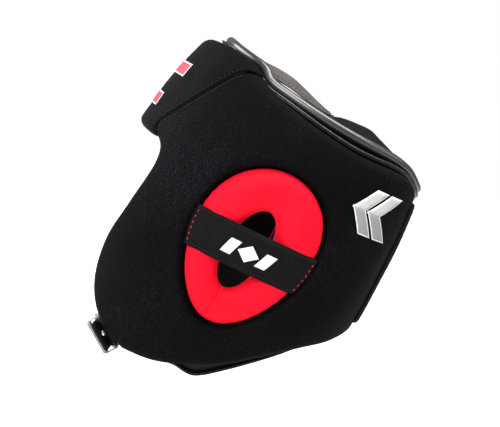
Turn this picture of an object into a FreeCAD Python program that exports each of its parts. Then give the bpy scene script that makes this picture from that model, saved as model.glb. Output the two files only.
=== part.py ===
"""Padded sparring head guard with ear rings, crown flaps, a rear closure flap and a buckled chin strap.

Units are millimetres. The origin is midway between the two ear openings. +Z is up as worn, -Y is the way
the wearer faces and +X is the wearer's left. Left-hand pieces are built once and mirrored for the right.
"""
import FreeCAD, Part
import math
import os

V = FreeCAD.Vector

# ---- Driving dimensions: the head form --------------------------------------------------------------
WIDEST = 102.0           # half-width of the outer surface at its widest height
WIDEST_Z = 5.0
WIDTH_TAPER = 0.0015     # half-width lost per square millimetre above or below WIDEST_Z
FRONT = 127.0            # distance from the ears to the furthest point of the brow
FRONT_Z = 20.0
BROW_TAPER = 0.0018      # lean of the brow above FRONT_Z
CHIN_TAPER = 0.0008      # lean of the cheeks below FRONT_Z
BACK = 108.0
BACK_Z = 30.0
BACK_TAPER = 0.0006
SQUARENESS = 0.08        # how much fuller than an ellipse the horizontal sections are at their corners
FORM_TOP = 150.0
SECTION_STEP = 30.0
SECTION_POINTS = 28
BEYOND = 150.0           # reach of a cutting block past the surface

# ---- Layers, measured inwards from the outer surface ------------------------------------------------
SHELL = 18.0             # neoprene-covered shell
COVER = 2.0              # neoprene
LINING = 7.0             # padded vinyl lining
VINYL = 1.0
GAP = 0.2                # air left between neighbours so that no two solids share space
SEAM_GAP = 0.3

# ---- Ear openings -----------------------------------------------------------------------------------
EAR_Y, EAR_Z = 2.5, -1.5
RING_HALF_WIDTH = 47.5
RING_HALF_HEIGHT = 63.5
RING_EGG = 0.06          # share by which the ring is fuller above its middle than below
RING_TOP = 4.0           # how far the ring's face sits below the shell's surface
RING_SLOT = 3.0          # gap round the ring that takes the ends of the ear strap
HOLE_Y, HOLE_Z = -2.5, -4.5
HOLE_HALF_WIDTH = 13.5
HOLE_HALF_HEIGHT = 33.5
HOLE_LEAN = 6.0          # degrees the hole's top leans towards the back
EAR_STRAP = 30.5
EAR_STRAP_Z = -2.5
EAR_STRAP_DEPTH = 14.0   # how deep the strap's ends reach into the slot
RED_COVER = 1.2

# ---- Rear opening -----------------------------------------------------------------------------------
REAR_HALF_GAP = 25.0
REAR_FLAP_Z = (-28.0, 80.0)
REAR_FLAP_ROOT_X = 34.0
REAR_FLAP_TIP_X = -54.0
REAR_FLAP_THICK = 2.6

# ---- Crown flaps ------------------------------------------------------------------------------------
FLAP_WIDTH = 54.0
FLAP_THICK = 2.4
TAPE_THICK = 1.1

# ---- Chin strap -------------------------------------------------------------------------------------
WEB = 25.0               # webbing width
WEB_THICK = 1.8
JAW_POINT = (-70.5, -116.2)          # y and z where the strap leaves the jaw's edge
CHIN_DROP = (-0.566, -0.824)         # direction from the jaw's edge towards the chin
SWING_CENTRE = -35.0                 # the strap swings about a line this far along CHIN_DROP
ANCHOR_X = 47.7                      # where the anchor tabs end and the strap starts
CHIN_SLOPE = math.radians(16.0)      # slope of the buckled stretch
BAR_X, BAR_N = 37.0, 6.2             # where the buckle's fixed bar sits
ROLLER_REACH = 20.0                  # from the fixed bar to the roller
BUCKLE_HALF = 15.0                   # from the buckle's middle to the middle of a side bar
WIRE = 2.6                           # buckle wire diameter
ROLLER_D = 5.2
ROLLER_BORE = 2.7
PRONG = 2.2


# ---- Head form --------------------------------------------------------------------------------------
def form_size(z):
    """Half-width, middle y and half-length of the outer surface at height z."""
    half_width = WIDEST - WIDTH_TAPER * (z - WIDEST_Z) ** 2
    taper = BROW_TAPER if z > FRONT_Z else CHIN_TAPER
    front = -FRONT + taper * (z - FRONT_Z) ** 2
    back = BACK - BACK_TAPER * (z - BACK_Z) ** 2
    return half_width, (front + back) / 2, (back - front) / 2


def form_point(turn, z, depth=0.0):
    """x and y of the surface at height z, depth millimetres in, for a turn round the head from +X."""
    half_width, middle, half_length = form_size(z)
    x = (half_width - depth) * math.cos(turn) * (1 + SQUARENESS * math.sin(turn) ** 2)
    y = (half_length - depth) * math.sin(turn) * (1 + SQUARENESS * math.cos(turn) ** 2)
    return x, middle + y


def form_back(x, z):
    """y of the outer surface at the back of the head, x to one side."""
    low, high = 0.0, math.pi / 2
    for _ in range(40):
        turn = (low + high) / 2
        if form_point(turn, z)[0] > abs(x):
            low = turn
        else:
            high = turn
    return form_point(turn, z)[1]


def section(z, depth):
    turns = [2 * math.pi * i / SECTION_POINTS for i in range(SECTION_POINTS)]
    points = [V(*form_point(turn, z, depth), z) for turn in turns]
    curve = Part.BSplineCurve()
    curve.interpolate(points, PeriodicFlag=True)
    return Part.Wire([curve.toShape()])


forms = {}


def form(depth):
    """The solid inside the surface that lies depth millimetres in from the outer surface."""
    if depth not in forms:
        count = int(2 * FORM_TOP / SECTION_STEP) + 1
        wires = [section(-FORM_TOP + i * SECTION_STEP, depth) for i in range(count)]
        forms[depth] = Part.makeLoft(wires, True, False)
    return forms[depth]


def layer(outer, inner, block):
    """The part of block between two depths."""
    return block.common(form(outer)).cut(form(inner))


# ---- Outlines in the side view (y, z) ---------------------------------------------------------------
def spline(points):
    curve = Part.BSplineCurve()
    curve.interpolate([V(0, y, z) for y, z in points])
    return curve.toShape()


def line(a, b):
    return Part.makeLine(V(0, *a), V(0, *b))


def block(wire, x_low, x_high):
    """An outline in the side view, made solid from x_low to x_high."""
    face = Part.Face(wire)
    face.translate(V(x_low, 0, 0))
    return face.extrude(V(x_high - x_low, 0, 0))


def shifted(points, dy, dz):
    return [(y + dy, z + dz) for y, z in points]


SEAM = [(-108.5, 41.5), (-106.5, 49.0), (-101.0, 61.0), (-86.0, 84.5), (-71.0, 106.5), (-61.5, 115.5),
        (-49.0, 118.5), (-36.0, 119.5)]
TOP = [(-49.0, 117.8), (-12.0, 109.7), (33.0, 102.8), (78.0, 98.4), (93.0, 95.0), (101.5, 88.5),
       (107.0, 76.0), (112.0, 60.0)]
BOTTOM = [(112.0, -28.0), (103.0, -38.0), (90.0, -45.0), (44.0, -76.0), (0.0, -104.0), (-32.0, -116.0),
          (-56.0, -120.5)]
CHEEK = [(-50.0, -121.2), (-56.0, -120.5), (-71.0, -115.0), (-84.0, -106.5), (-94.0, -93.0),
         (-99.5, -78.0), (-102.5, -52.0), (-100.0, -30.0), (-97.0, -12.0), (-94.5, 8.0), (-95.0, 22.0),
         (-98.0, 31.0), (-107.6, 42.2)]
BROW_TOP = [(-145.0, 127.5), (-85.0, 126.6), (-66.0, 122.8), (-49.0, 117.8), (-30.0, 112.0)]
BROW_BOTTOM = [(-145.0, 46.0), (-124.0, 43.6), (-115.0, 41.4), (-100.0, 42.0), (-30.0, 44.0)]
LINING_TOP = [(-49.0, 122.5), (-36.0, 119.0), (0.0, 114.8), (45.0, 110.4), (72.0, 107.4), (88.0, 101.0),
              (112.0, 84.0)]
LINING_BOTTOM = [(112.0, -44.0), (90.0, -49.0), (60.0, -73.0), (32.0, -97.0), (6.0, -111.5),
                 (-20.0, -117.0)]
LINING_JAW = [(-20.0, -117.0), (-30.0, -113.5), (-56.0, -118.5)]
BROW_LINING_TOP = [(-145.0, 134.5), (-85.0, 133.5), (-66.0, 128.6), (-49.0, 122.5), (-30.0, 117.0)]
FAR = -145.0


def closed(*pieces):
    """A closed outline from lists of points: curves where a list is long, lines between the lists."""
    edges = []
    for i, points in enumerate(pieces):
        edges.append(spline(points) if len(points) > 2 else line(*points))
        end, start = points[-1], pieces[(i + 1) % len(pieces)][0]
        if math.dist(end, start) > 0.01:
            edges.append(line(end, start))
    return Part.Wire(Part.__sortEdges__(edges))


def side_outline(inset):
    """Outline of both sides together with the face opening, drawn in by inset at the top and bottom."""
    front = shifted(BROW_TOP[:4], 0.0, -inset)
    bottom = shifted(BOTTOM, 0.0, inset)
    return closed(front, shifted(TOP, 0.0, -inset), bottom, [bottom[-1], (FAR, bottom[-1][1])])


def side_lining_outline(inset):
    """The same for the lining: it stands above the shell's top edge and hangs below its neck edge."""
    front = shifted(BROW_LINING_TOP[:4], 0.0, -inset)
    jaw = shifted(LINING_JAW, 0.0, inset)
    return closed(front, shifted(LINING_TOP, 0.0, -inset), shifted(LINING_BOTTOM, 0.0, inset), jaw,
                  [jaw[-1], (FAR, jaw[-1][1])])


def brow_outline(inset, top_points, bottom_drop):
    """Outline of a forehead layer, from its top edge down to the brow."""
    return closed(shifted(top_points, 0.0, -inset), shifted(BROW_BOTTOM, 0.0, inset - bottom_drop)[::-1])


def offset(points, distance):
    """The points moved sideways, to the right of the direction in which they run."""
    moved = []
    for i, (y, z) in enumerate(points):
        before, after = points[max(0, i - 1)], points[min(len(points) - 1, i + 1)]
        dy, dz = after[0] - before[0], after[1] - before[1]
        length = math.hypot(dy, dz)
        moved.append((y + distance * dz / length, z - distance * dy / length))
    return moved


def surface_turn(y, z):
    """The turn at which the front half of the surface passes y at height z."""
    low, high = -math.pi / 2, 0.0
    for _ in range(40):
        turn = (low + high) / 2
        if form_point(turn, z)[1] < y:
            low = turn
        else:
            high = turn
    return turn


def wedge(points, samples, bottom=0.0, top=0.0):
    """Everything in front of a line drawn on the surface, cut square to the head form.

    points is the left-hand line in the side view, running upwards. Above and below it the wedge goes on
    straight by top and bottom.
    """
    curve = Part.BSplineCurve()
    curve.interpolate([V(0, y, z) for y, z in points])
    first, last = curve.FirstParameter, curve.LastParameter
    along = [curve.value(first + (last - first) * i / samples) for i in range(samples + 1)]
    line_points = [(p.y, p.z, p.z) for p in along]
    if bottom:
        line_points.insert(0, (along[0].y, along[0].z, along[0].z - bottom))
    if top:
        line_points.append((along[-1].y, along[-1].z, along[-1].z + top))
    wires = []
    for y, z, level in line_points:
        middle = form_size(z)[1]
        x, y_on = form_point(surface_turn(y, z), z)
        reach = 200.0 / math.hypot(x, y_on - middle)
        far_x, far_y = x * reach, middle + (y_on - middle) * reach
        corners = [(0, middle), (far_x, far_y), (far_x, -330), (-far_x, -330), (-far_x, far_y), (0, middle)]
        wires.append(Part.makePolygon([V(a, b, level) for a, b in corners]))
    return Part.makeLoft(wires, True, True)


def in_front_of_seam(distance):
    return wedge(offset(SEAM, distance), 7, 12.0, 30.0)


def face_opening(distance):
    return wedge(offset(CHEEK, distance), 10, 10.0, 0.0)


def side_block(outline, inset):
    """The left side panel's block, before it is cut to its layer."""
    whole = block(outline, REAR_HALF_GAP + inset, BEYOND)
    return whole.cut(in_front_of_seam(SEAM_GAP + inset)).cut(face_opening(inset))


def brow_block(outline, inset):
    whole = block(outline, -BEYOND, BEYOND)
    return whole.common(in_front_of_seam(-SEAM_GAP - inset))


def egg(grow):
    """Outline of the ear ring, made larger by grow."""
    points = []
    for i in range(24):
        turn = 2 * math.pi * i / 24
        height = math.sin(turn)
        y = EAR_Y + (RING_HALF_WIDTH + grow) * math.cos(turn) * (1 + RING_EGG * height)
        points.append(V(0, y, EAR_Z + (RING_HALF_HEIGHT + grow) * height))
    curve = Part.BSplineCurve()
    curve.interpolate(points, PeriodicFlag=True)
    return Part.Wire([curve.toShape()])


def ear_hole(grow):
    """Outline of the leaning oval opening over the ear."""
    oval = Part.Ellipse(V(0, 0, 0), HOLE_HALF_HEIGHT + grow, HOLE_HALF_WIDTH + grow).toShape()
    wire = Part.Wire([oval])
    wire.rotate(V(0, 0, 0), V(0, 1, 0), -90)
    wire.rotate(V(0, 0, 0), V(1, 0, 0), -HOLE_LEAN)
    wire.translate(V(0, HOLE_Y, HOLE_Z))
    return wire


def rectangle(y_low, y_high, z_low, z_high):
    corners = [V(0, y_low, z_low), V(0, y_high, z_low), V(0, y_high, z_high), V(0, y_low, z_high)]
    return Part.makePolygon(corners + corners[:1])


def polygon(points):
    corners = [V(0, y, z) for y, z in points]
    return Part.makePolygon(corners + corners[:1])


# ---- Shell ------------------------------------------------------------------------------------------
def side_cover():
    """Neoprene skin that wraps the panel's face, its edges and the wall of the ear opening."""
    opening = block(egg(RING_SLOT), 0, BEYOND)
    outside = layer(0, SHELL, side_block(side_outline(0), 0)).cut(opening)
    pocket = layer(COVER, SHELL + 5, side_block(side_outline(COVER), COVER))
    return outside.cut(pocket.cut(block(egg(RING_SLOT + COVER), 0, BEYOND)))


def side_foam():
    inset = COVER + GAP
    body = layer(inset, SHELL - GAP, side_block(side_outline(inset), inset))
    return body.cut(block(egg(RING_SLOT + inset), 0, BEYOND))


def side_lining_skin():
    """Vinyl that faces the head and wraps the lining's edges, open towards the shell."""
    face, back = SHELL + GAP + LINING, SHELL + GAP
    outside = layer(back, face, side_block(side_lining_outline(0), 0))
    inside = side_block(side_lining_outline(VINYL), VINYL)
    pocket = layer(back - 5, face - VINYL, inside).cut(block(ear_hole(2 + VINYL), 0, BEYOND))
    return outside.cut(block(ear_hole(2), 0, BEYOND)).cut(pocket)


def side_lining_foam():
    inset = VINYL + GAP
    body = layer(SHELL + 2 * GAP, SHELL + GAP + LINING - inset, side_block(side_lining_outline(inset), inset))
    return body.cut(block(ear_hole(2 + inset), 0, BEYOND))


def forehead_cover():
    outside = layer(0, SHELL, brow_block(brow_outline(0, BROW_TOP, 0), 0))
    return outside.cut(layer(COVER, SHELL + 5, brow_block(brow_outline(COVER, BROW_TOP, 0), COVER)))


def forehead_foam():
    inset = COVER + GAP
    return layer(inset, SHELL - GAP, brow_block(brow_outline(inset, BROW_TOP, 0), inset))


def forehead_lining_skin():
    face, back = SHELL + GAP + LINING, SHELL + GAP
    outside = layer(back, face, brow_block(brow_outline(0, BROW_LINING_TOP, 2), 0))
    inside = brow_block(brow_outline(VINYL, BROW_LINING_TOP, 2), VINYL)
    return outside.cut(layer(back - 5, face - VINYL, inside))


def forehead_lining_foam():
    inset = VINYL + GAP
    inside = brow_block(brow_outline(inset, BROW_LINING_TOP, 2), inset)
    return layer(SHELL + 2 * GAP, SHELL + GAP + LINING - inset, inside)


# ---- Back pad, which fills the gap between the two sides --------------------------------------------
BACK_PAD_Z = (-38.0, 98.5)
BACK_PAD_OUT = 6.0


def back_block(inset):
    half = REAR_HALF_GAP - 1.0 - inset
    low, high = BACK_PAD_Z
    return Part.makeBox(2 * half, BEYOND, high - low - 2 * inset, V(-half, 0, low + inset))


def back_pad_skin():
    """Vinyl over the pad's head side and edges, open towards the rear flap."""
    face = SHELL + GAP + LINING
    outside = layer(BACK_PAD_OUT, face, back_block(0))
    return outside.cut(layer(BACK_PAD_OUT - 5, face - VINYL, back_block(VINYL)))


def back_pad_foam():
    inset = VINYL + GAP
    return layer(BACK_PAD_OUT + GAP, SHELL + GAP + LINING - inset, back_block(inset))


# ---- Ear ring and strap -----------------------------------------------------------------------------
def ear_ring_cover():
    """Red fabric over the ring's face, outer wall and inner wall, open towards the lining."""
    outside = layer(RING_TOP, SHELL, block(egg(0), 0, BEYOND)).cut(block(ear_hole(0), 0, BEYOND))
    pocket = layer(RING_TOP + RED_COVER, SHELL + 5, block(egg(-RED_COVER), 0, BEYOND))
    return outside.cut(pocket.cut(block(ear_hole(RED_COVER), 0, BEYOND)))


def ear_ring_foam():
    inset = RED_COVER + GAP
    body = layer(RING_TOP + inset, SHELL - GAP, block(egg(-inset), 0, BEYOND))
    return body.cut(block(ear_hole(inset), 0, BEYOND))


def ear_strap():
    """Elastic band over the ring, with both ends tucked into the slot round it."""
    half = EAR_STRAP / 2
    reach = RING_HALF_WIDTH + 20
    band = block(rectangle(-reach, reach, EAR_STRAP_Z - half, EAR_STRAP_Z + half), 0, BEYOND)
    outer = block(egg(RING_SLOT - 0.5), 0, BEYOND).common(band)
    over = layer(0.5, 2.4, outer)
    ends = layer(0.5, EAR_STRAP_DEPTH, outer.cut(block(egg(0.6), 0, BEYOND)))
    return over.fuse(ends).removeSplitter()


def ear_strap_mark():
    """Printed mark on the strap: a lozenge between two short bars."""
    depth = (0.1, 0.4)
    z, half = EAR_STRAP_Z, 6.5
    shapes = [polygon([(-7, z), (1, z + half), (9, z), (1, z - half)])]
    shapes += [rectangle(y, y + 9, z - 2.2, z + 2.2) for y in (-19, 12)]
    return Part.makeCompound([layer(*depth, block(shape, 0, BEYOND)) for shape in shapes])


def side_mark():
    """Printed mark behind the ear: two silver chevrons."""
    y, z, arm, rise, thick = 64.0, 62.0, 17.0, 13.0, 9.0
    marks = []
    for step in (0.0, 13.5):
        foot = y + step
        outline = [(foot, z + arm), (foot + thick, z + arm), (foot + thick + rise * 0.6, z),
                   (foot + thick, z - arm), (foot, z - arm), (foot + rise * 0.6, z)]
        marks.append(layer(-0.35, -0.05, block(polygon(outline), 0, BEYOND)))
    return Part.makeCompound(marks)


def forehead_mark():
    """Printed mark on the forehead: two bars with a lozenge between them."""
    shapes = []
    for low, high, half in ((92.0, 103.0, 43.0), (62.0, 73.0, 36.0)):
        shapes.append(Part.makeBox(2 * half, BEYOND, high - low, V(-half, -BEYOND, low)))
    lozenge = [V(x, -BEYOND, z) for x, z in ((-13, 82.5), (0, 75.5), (13, 82.5), (0, 89.5), (-13, 82.5))]
    shapes.append(Part.Face(Part.makePolygon(lozenge)).extrude(V(0, BEYOND, 0)))
    return Part.makeCompound([layer(-0.35, -0.05, shape) for shape in shapes])


# ---- Ribbons: straps and flaps of one thickness along a smooth path ---------------------------------
def ribbon(points, thickness, place, sweep):
    """A strap whose middle follows points, given in two coordinates that place() puts in space."""
    path = Part.BSplineCurve()
    path.interpolate([V(a, b, 0) for a, b in points])
    steps = 8 * len(points)
    sides = [[], []]
    for i in range(steps + 1):
        at = path.FirstParameter + (path.LastParameter - path.FirstParameter) * i / steps
        here, along = path.value(at), path.tangent(at)[0]
        across = V(-along.y, along.x, 0) * (thickness / 2)
        sides[0].append(here + across)
        sides[1].append(here - across)
    edges = []
    for side in sides:
        curve = Part.BSplineCurve()
        curve.interpolate([place(p.x, p.y) for p in side])
        edges.append(curve.toShape())
    for end in (0, -1):
        edges.append(Part.makeLine(place(sides[0][end].x, sides[0][end].y),
                                   place(sides[1][end].x, sides[1][end].y)))
    return Part.Face(Part.Wire(Part.__sortEdges__(edges))).extrude(sweep)


# ---- Crown flaps ------------------------------------------------------------------------------------
FRONT_FLAP = [(-69.0, 125.6), (-60.0, 126.0), (-44.0, 126.4), (-26.0, 126.2), (-10.0, 121.8), (4.0, 117.3),
              (22.0, 115.9)]
REAR_FLAP = [(87.0, 104.6), (76.0, 108.8), (58.0, 115.0), (40.0, 116.2), (26.0, 111.7), (12.0, 109.8),
             (-6.0, 110.6)]
CROWN_TAPE_Y = (3.0, 20.0)


def crown_ribbon(points, thickness, width):
    return ribbon(points, thickness, lambda y, z: V(-width / 2, y, z), V(width, 0, 0))


def crown_front_flap():
    return crown_ribbon(FRONT_FLAP, FLAP_THICK, FLAP_WIDTH)


def crown_rear_flap():
    return crown_ribbon(REAR_FLAP, FLAP_THICK, FLAP_WIDTH)


def crown_tape(flap_points, side):
    """Hook or loop tape on one face of a flap where the two flaps overlap."""
    width = FLAP_WIDTH - 10
    lift = side * (FLAP_THICK + TAPE_THICK) / 2 + side * 0.12
    path = shifted(flap_points, 0.0, lift)
    strip = crown_ribbon(path, TAPE_THICK, width)
    low, high = CROWN_TAPE_Y
    return strip.common(Part.makeBox(width, high - low, BEYOND, V(-width / 2, low, 0)))


# ---- Rear closure flap ------------------------------------------------------------------------------
def rear_sheet(x_low, x_high, z_low, z_high, outer, inner):
    """A sheet on the back, between two distances out from the shell, flat across the rear opening."""
    def edge(out):
        xs = [x_low + (x_high - x_low) * i / 12 for i in range(13)]
        points = []
        for x in xs:
            reach = max(abs(x), REAR_HALF_GAP)
            points.append(V(x, form_back(reach, BACK_Z) + out, z_low))
        curve = Part.BSplineCurve()
        curve.interpolate(points)
        return curve.toShape(), points
    near, near_points = edge(inner)
    far, far_points = edge(outer)
    ends = [Part.makeLine(near_points[i], far_points[i]) for i in (0, -1)]
    face = Part.Face(Part.Wire(Part.__sortEdges__([near, far] + ends)))
    return face.extrude(V(0, 0, z_high - z_low))


def rear_flap():
    low, high = REAR_FLAP_Z
    sheet = rear_sheet(REAR_FLAP_TIP_X, REAR_FLAP_ROOT_X, low, high, 2.6 + REAR_FLAP_THICK, 2.6)
    return sheet


def rear_hook_tape():
    low, high = REAR_FLAP_Z
    return rear_sheet(-50.0, -30.0, low + 8, high - 8, 2.55, 1.55)


def rear_loop_tape():
    low, high = REAR_FLAP_Z
    return rear_sheet(-50.0, -30.0, low + 8, high - 8, 1.45, 0.45)


# ---- Chin strap and buckle --------------------------------------------------------------------------
CHIN_WIDTH = V(0, -CHIN_DROP[1], CHIN_DROP[0])      # across the webbing, from its front edge to its back


def chin(x, n, w=0.0):
    """Point at x, n millimetres from the jaw's edge towards the chin, w across the webbing."""
    return V(x, JAW_POINT[0] + n * CHIN_DROP[0], JAW_POINT[1] + n * CHIN_DROP[1]) + CHIN_WIDTH * w


def buckle_place(s, m):
    """x and n of a point s from the fixed bar towards the roller and m out of the buckle's plane."""
    x = BAR_X - s * math.cos(CHIN_SLOPE) + m * math.sin(CHIN_SLOPE)
    n = BAR_N + s * math.sin(CHIN_SLOPE) + m * math.cos(CHIN_SLOPE)
    return x, n


def buckle(s, m, w=0.0):
    return chin(*buckle_place(s, m), w)


def rod(start, end, diameter):
    along = end - start
    return Part.makeCylinder(diameter / 2, along.Length, start, along)


def webbing(points, width=WEB, thickness=WEB_THICK):
    """Webbing whose middle follows points given as (x, n)."""
    return ribbon(points, thickness, lambda x, n: chin(x, n, -width / 2), CHIN_WIDTH * width)


def chin_anchor():
    """Webbing tab sewn along the underside of the jaw's edge, where the strap starts."""
    return webbing([(63.0, 0.0), (59.0, 0.1), (55.0, 1.0), (51.5, 2.6), (ANCHOR_X + 0.9, 3.65)])


def buckle_box(s_low, s_high, m_low, m_high, w_half):
    corners = [buckle(s, m, -w_half) for s, m in
               ((s_low, m_low), (s_high, m_low), (s_high, m_high), (s_low, m_high), (s_low, m_low))]
    return Part.Face(Part.makePolygon(corners)).extrude(CHIN_WIDTH * (2 * w_half))


def chin_strap_loop():
    """Short webbing from the left anchor, folded round the buckle's fixed bar and slotted for the prong."""
    half = CHIN_WIDTH * (WEB / 2)
    bar = buckle(0, 0)
    fold = rod(bar - half, bar + half, WIRE + 0.5 + 2 * WEB_THICK)
    start, end = buckle_place(-2.0, 0.0), buckle_place(-4.5, 0.0)
    doubled = webbing([start, end, buckle_place(-6.5, 0.0)], WEB, 2 * WEB_THICK)
    tail = webbing([end, buckle_place(-7.0, 0.0), (ANCHOR_X, 3.75)])
    loop = fold.fuse(doubled).fuse(tail).cut(rod(bar - half * 2, bar + half * 2, WIRE + 0.5))
    return loop.cut(buckle_box(-3.4, 6.0, -6.0, 6.0, 2.2)).removeSplitter()


def chin_strap_tongue():
    """Webbing from the right anchor, under the roller, over the fixed bar and out to its free end."""
    inner, middle, outer = buckle_place(20.0, -4.3), buckle_place(8.0, 1.1), buckle_place(0.0, 5.0)
    path = [(-ANCHOR_X, 3.75), (-36.0, 6.3), (-20.0, 8.0), (-2.0, 8.3), inner, middle, outer,
            (46.0, 10.6), (56.0, 9.4), (66.0, 8.6)]
    eyelet = buckle_box(0.4, 10.6, -3.0, 8.0, 1.9)
    holes = [rod(chin(x, -10.0), chin(x, 30.0), 4.0) for x in (-6.0, -20.0)]
    tongue = webbing(path).cut(eyelet)
    for hole in holes:
        tongue = tongue.cut(hole)
    return tongue


def chin_strap_keeper():
    """Cast steel loop with a thick outer bar, which holds the tongue's free end against the strap."""
    low, high, outer_half, inner_half = 42.6, 45.8, 15.2, 14.2
    outside = Part.Face(Part.makePolygon([chin(low, 1.6, -outer_half), chin(high, 1.6, -outer_half),
                                          chin(high, 15.0, -outer_half), chin(low, 15.0, -outer_half),
                                          chin(low, 1.6, -outer_half)]))
    inside = Part.Face(Part.makePolygon([chin(low - 1, 2.4, -inner_half), chin(high + 1, 2.4, -inner_half),
                                         chin(high + 1, 12.2, -inner_half), chin(low - 1, 12.2, -inner_half),
                                         chin(low - 1, 2.4, -inner_half)]))
    return outside.extrude(CHIN_WIDTH * 2 * outer_half).cut(inside.extrude(CHIN_WIDTH * 2 * inner_half))


def buckle_frame():
    """Wire rectangle: the fixed bar, two side bars and the bar inside the roller."""
    corners = [(0.0, -BUCKLE_HALF), (ROLLER_REACH, -BUCKLE_HALF), (ROLLER_REACH, BUCKLE_HALF),
               (0.0, BUCKLE_HALF)]
    frame = None
    for i in range(4):
        start, end = corners[i], corners[(i + 1) % 4]
        start, end = buckle(start[0], 0, start[1]), buckle(end[0], 0, end[1])
        piece = rod(start, end, WIRE).fuse(Part.makeSphere(WIRE / 2, end))
        frame = piece if frame is None else frame.fuse(piece)
    return frame.removeSplitter()


def buckle_roller():
    half = BUCKLE_HALF - WIRE / 2 - 0.6
    ends = buckle(ROLLER_REACH, 0, -half), buckle(ROLLER_REACH, 0, half)
    return rod(*ends, ROLLER_D).cut(rod(*ends, ROLLER_BORE))


def buckle_prong():
    """Prong that turns on the fixed bar, passes through the tongue and rests on the roller."""
    eye = rod(buckle(0, 0, -1.6), buckle(0, 0, 1.6), 6.2)
    rest = (ROLLER_D + PRONG) / 2 + 0.15
    arm = rod(buckle(1.5, 0.4), buckle(15.0, 2.7), PRONG)
    knee = Part.makeSphere(PRONG / 2, buckle(15.0, 2.7))
    tip = rod(buckle(15.0, 2.7), buckle(23.5, rest + 0.75), PRONG)
    end = Part.makeSphere(PRONG / 2, buckle(23.5, rest + 0.75))
    prong = eye.fuse(arm).fuse(knee).fuse(tip).fuse(end)
    bore = rod(buckle(0, 0, -5), buckle(0, 0, 5), WIRE + 0.1)
    return prong.cut(bore).removeSplitter()


# ---- Build ------------------------------------------------------------------------------------------
def mirrored(shape):
    return shape.mirror(V(0, 0, 0), V(1, 0, 0))


def main():
    os.makedirs("parts", exist_ok=True)
    pairs = {
        "side_cover": side_cover,
        "side_foam": side_foam,
        "side_lining_skin": side_lining_skin,
        "side_lining_foam": side_lining_foam,
        "ear_ring_cover": ear_ring_cover,
        "ear_ring_foam": ear_ring_foam,
        "ear_strap": ear_strap,
        "ear_strap_mark": ear_strap_mark,
        "side_mark": side_mark,
        "chin_anchor": chin_anchor,
    }
    singles = {
        "forehead_cover": forehead_cover,
        "forehead_foam": forehead_foam,
        "forehead_lining_skin": forehead_lining_skin,
        "forehead_lining_foam": forehead_lining_foam,
        "forehead_mark": forehead_mark,
        "back_pad_skin": back_pad_skin,
        "back_pad_foam": back_pad_foam,
        "crown_front_flap": crown_front_flap,
        "crown_hook_tape": lambda: crown_tape(FRONT_FLAP, -1),
        "crown_rear_flap": crown_rear_flap,
        "crown_loop_tape": lambda: crown_tape(REAR_FLAP, 1),
        "rear_flap": rear_flap,
        "rear_hook_tape": rear_hook_tape,
        "rear_loop_tape": rear_loop_tape,
        "chin_strap_loop": chin_strap_loop,
        "chin_strap_tongue": chin_strap_tongue,
        "chin_strap_keeper": chin_strap_keeper,
        "chin_buckle_frame": buckle_frame,
        "chin_buckle_roller": buckle_roller,
        "chin_buckle_prong": buckle_prong,
    }
    for name, make in pairs.items():
        left = make()
        left.exportStep("parts/left_" + name + ".step")
        mirrored(left).exportStep("parts/right_" + name + ".step")
    for name, make in singles.items():
        make().exportStep("parts/" + name + ".step")


main()
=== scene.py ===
import math

import bmesh
import bpy
import numpy as np
from mathutils import Matrix, Vector, noise
from mathutils.geometry import delaunay_2d_cdt


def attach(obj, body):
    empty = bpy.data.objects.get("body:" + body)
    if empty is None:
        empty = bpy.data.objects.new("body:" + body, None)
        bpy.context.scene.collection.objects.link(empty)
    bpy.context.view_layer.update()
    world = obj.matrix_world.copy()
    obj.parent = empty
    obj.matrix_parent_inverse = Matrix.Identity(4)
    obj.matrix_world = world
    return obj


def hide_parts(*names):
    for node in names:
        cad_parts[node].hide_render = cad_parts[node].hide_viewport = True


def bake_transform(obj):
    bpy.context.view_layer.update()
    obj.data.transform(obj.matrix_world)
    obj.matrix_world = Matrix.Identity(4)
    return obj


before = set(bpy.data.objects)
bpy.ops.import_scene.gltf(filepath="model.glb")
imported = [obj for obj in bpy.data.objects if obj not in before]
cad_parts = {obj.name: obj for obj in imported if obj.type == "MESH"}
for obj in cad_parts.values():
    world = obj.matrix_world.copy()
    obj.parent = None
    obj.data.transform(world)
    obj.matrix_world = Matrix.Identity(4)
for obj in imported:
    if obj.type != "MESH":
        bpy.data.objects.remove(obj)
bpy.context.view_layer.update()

# Shapes are worked out in millimetres in the row frame and turned into metres when a mesh is made.
MM = 0.001

# ---- Head form: the surface all padding lies on ----
WIDEST, WIDEST_Z, WIDTH_TAPER = 102.0, 5.0, 0.0015
FRONT, FRONT_Z, BROW_TAPER, CHIN_TAPER = 127.0, 20.0, 0.0018, 0.0008
BACK, BACK_Z, BACK_TAPER = 108.0, 30.0, 0.0006
SQUARENESS = 0.08

# Depths below the outer surface: the covers' face and inner side, then the lining
FACE, SHELL, LINING_OUT, LINING_MID, LINING_IN = 0.3, 18.0, 18.2, 21.0, 25.2
UNROLL = 112.0                                       # millimetres per radian round the head
FRONT_U = -UNROLL * math.pi / 2                      # the middle of the forehead, unrolled
BACK_U = -FRONT_U                                    # and of the back


def form_size(z):
    z = np.asarray(z, float)
    half_width = WIDEST - WIDTH_TAPER * (z - WIDEST_Z) ** 2
    front = -FRONT + np.where(z > FRONT_Z, BROW_TAPER, CHIN_TAPER) * (z - FRONT_Z) ** 2
    back = BACK - BACK_TAPER * (z - BACK_Z) ** 2
    return half_width, (front + back) / 2, (back - front) / 2


def surface(u, z, depth=0.0):
    """Points on the head form from unrolled coordinates, depth millimetres below the outer surface."""
    turn = np.asarray(u, float) / UNROLL
    half_width, middle, half_length = form_size(z)
    x = (half_width - depth) * np.cos(turn) * (1 + SQUARENESS * np.sin(turn) ** 2)
    y = middle + (half_length - depth) * np.sin(turn) * (1 + SQUARENESS * np.cos(turn) ** 2)
    return np.stack([x, y, np.broadcast_to(z, x.shape)], -1)


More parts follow.
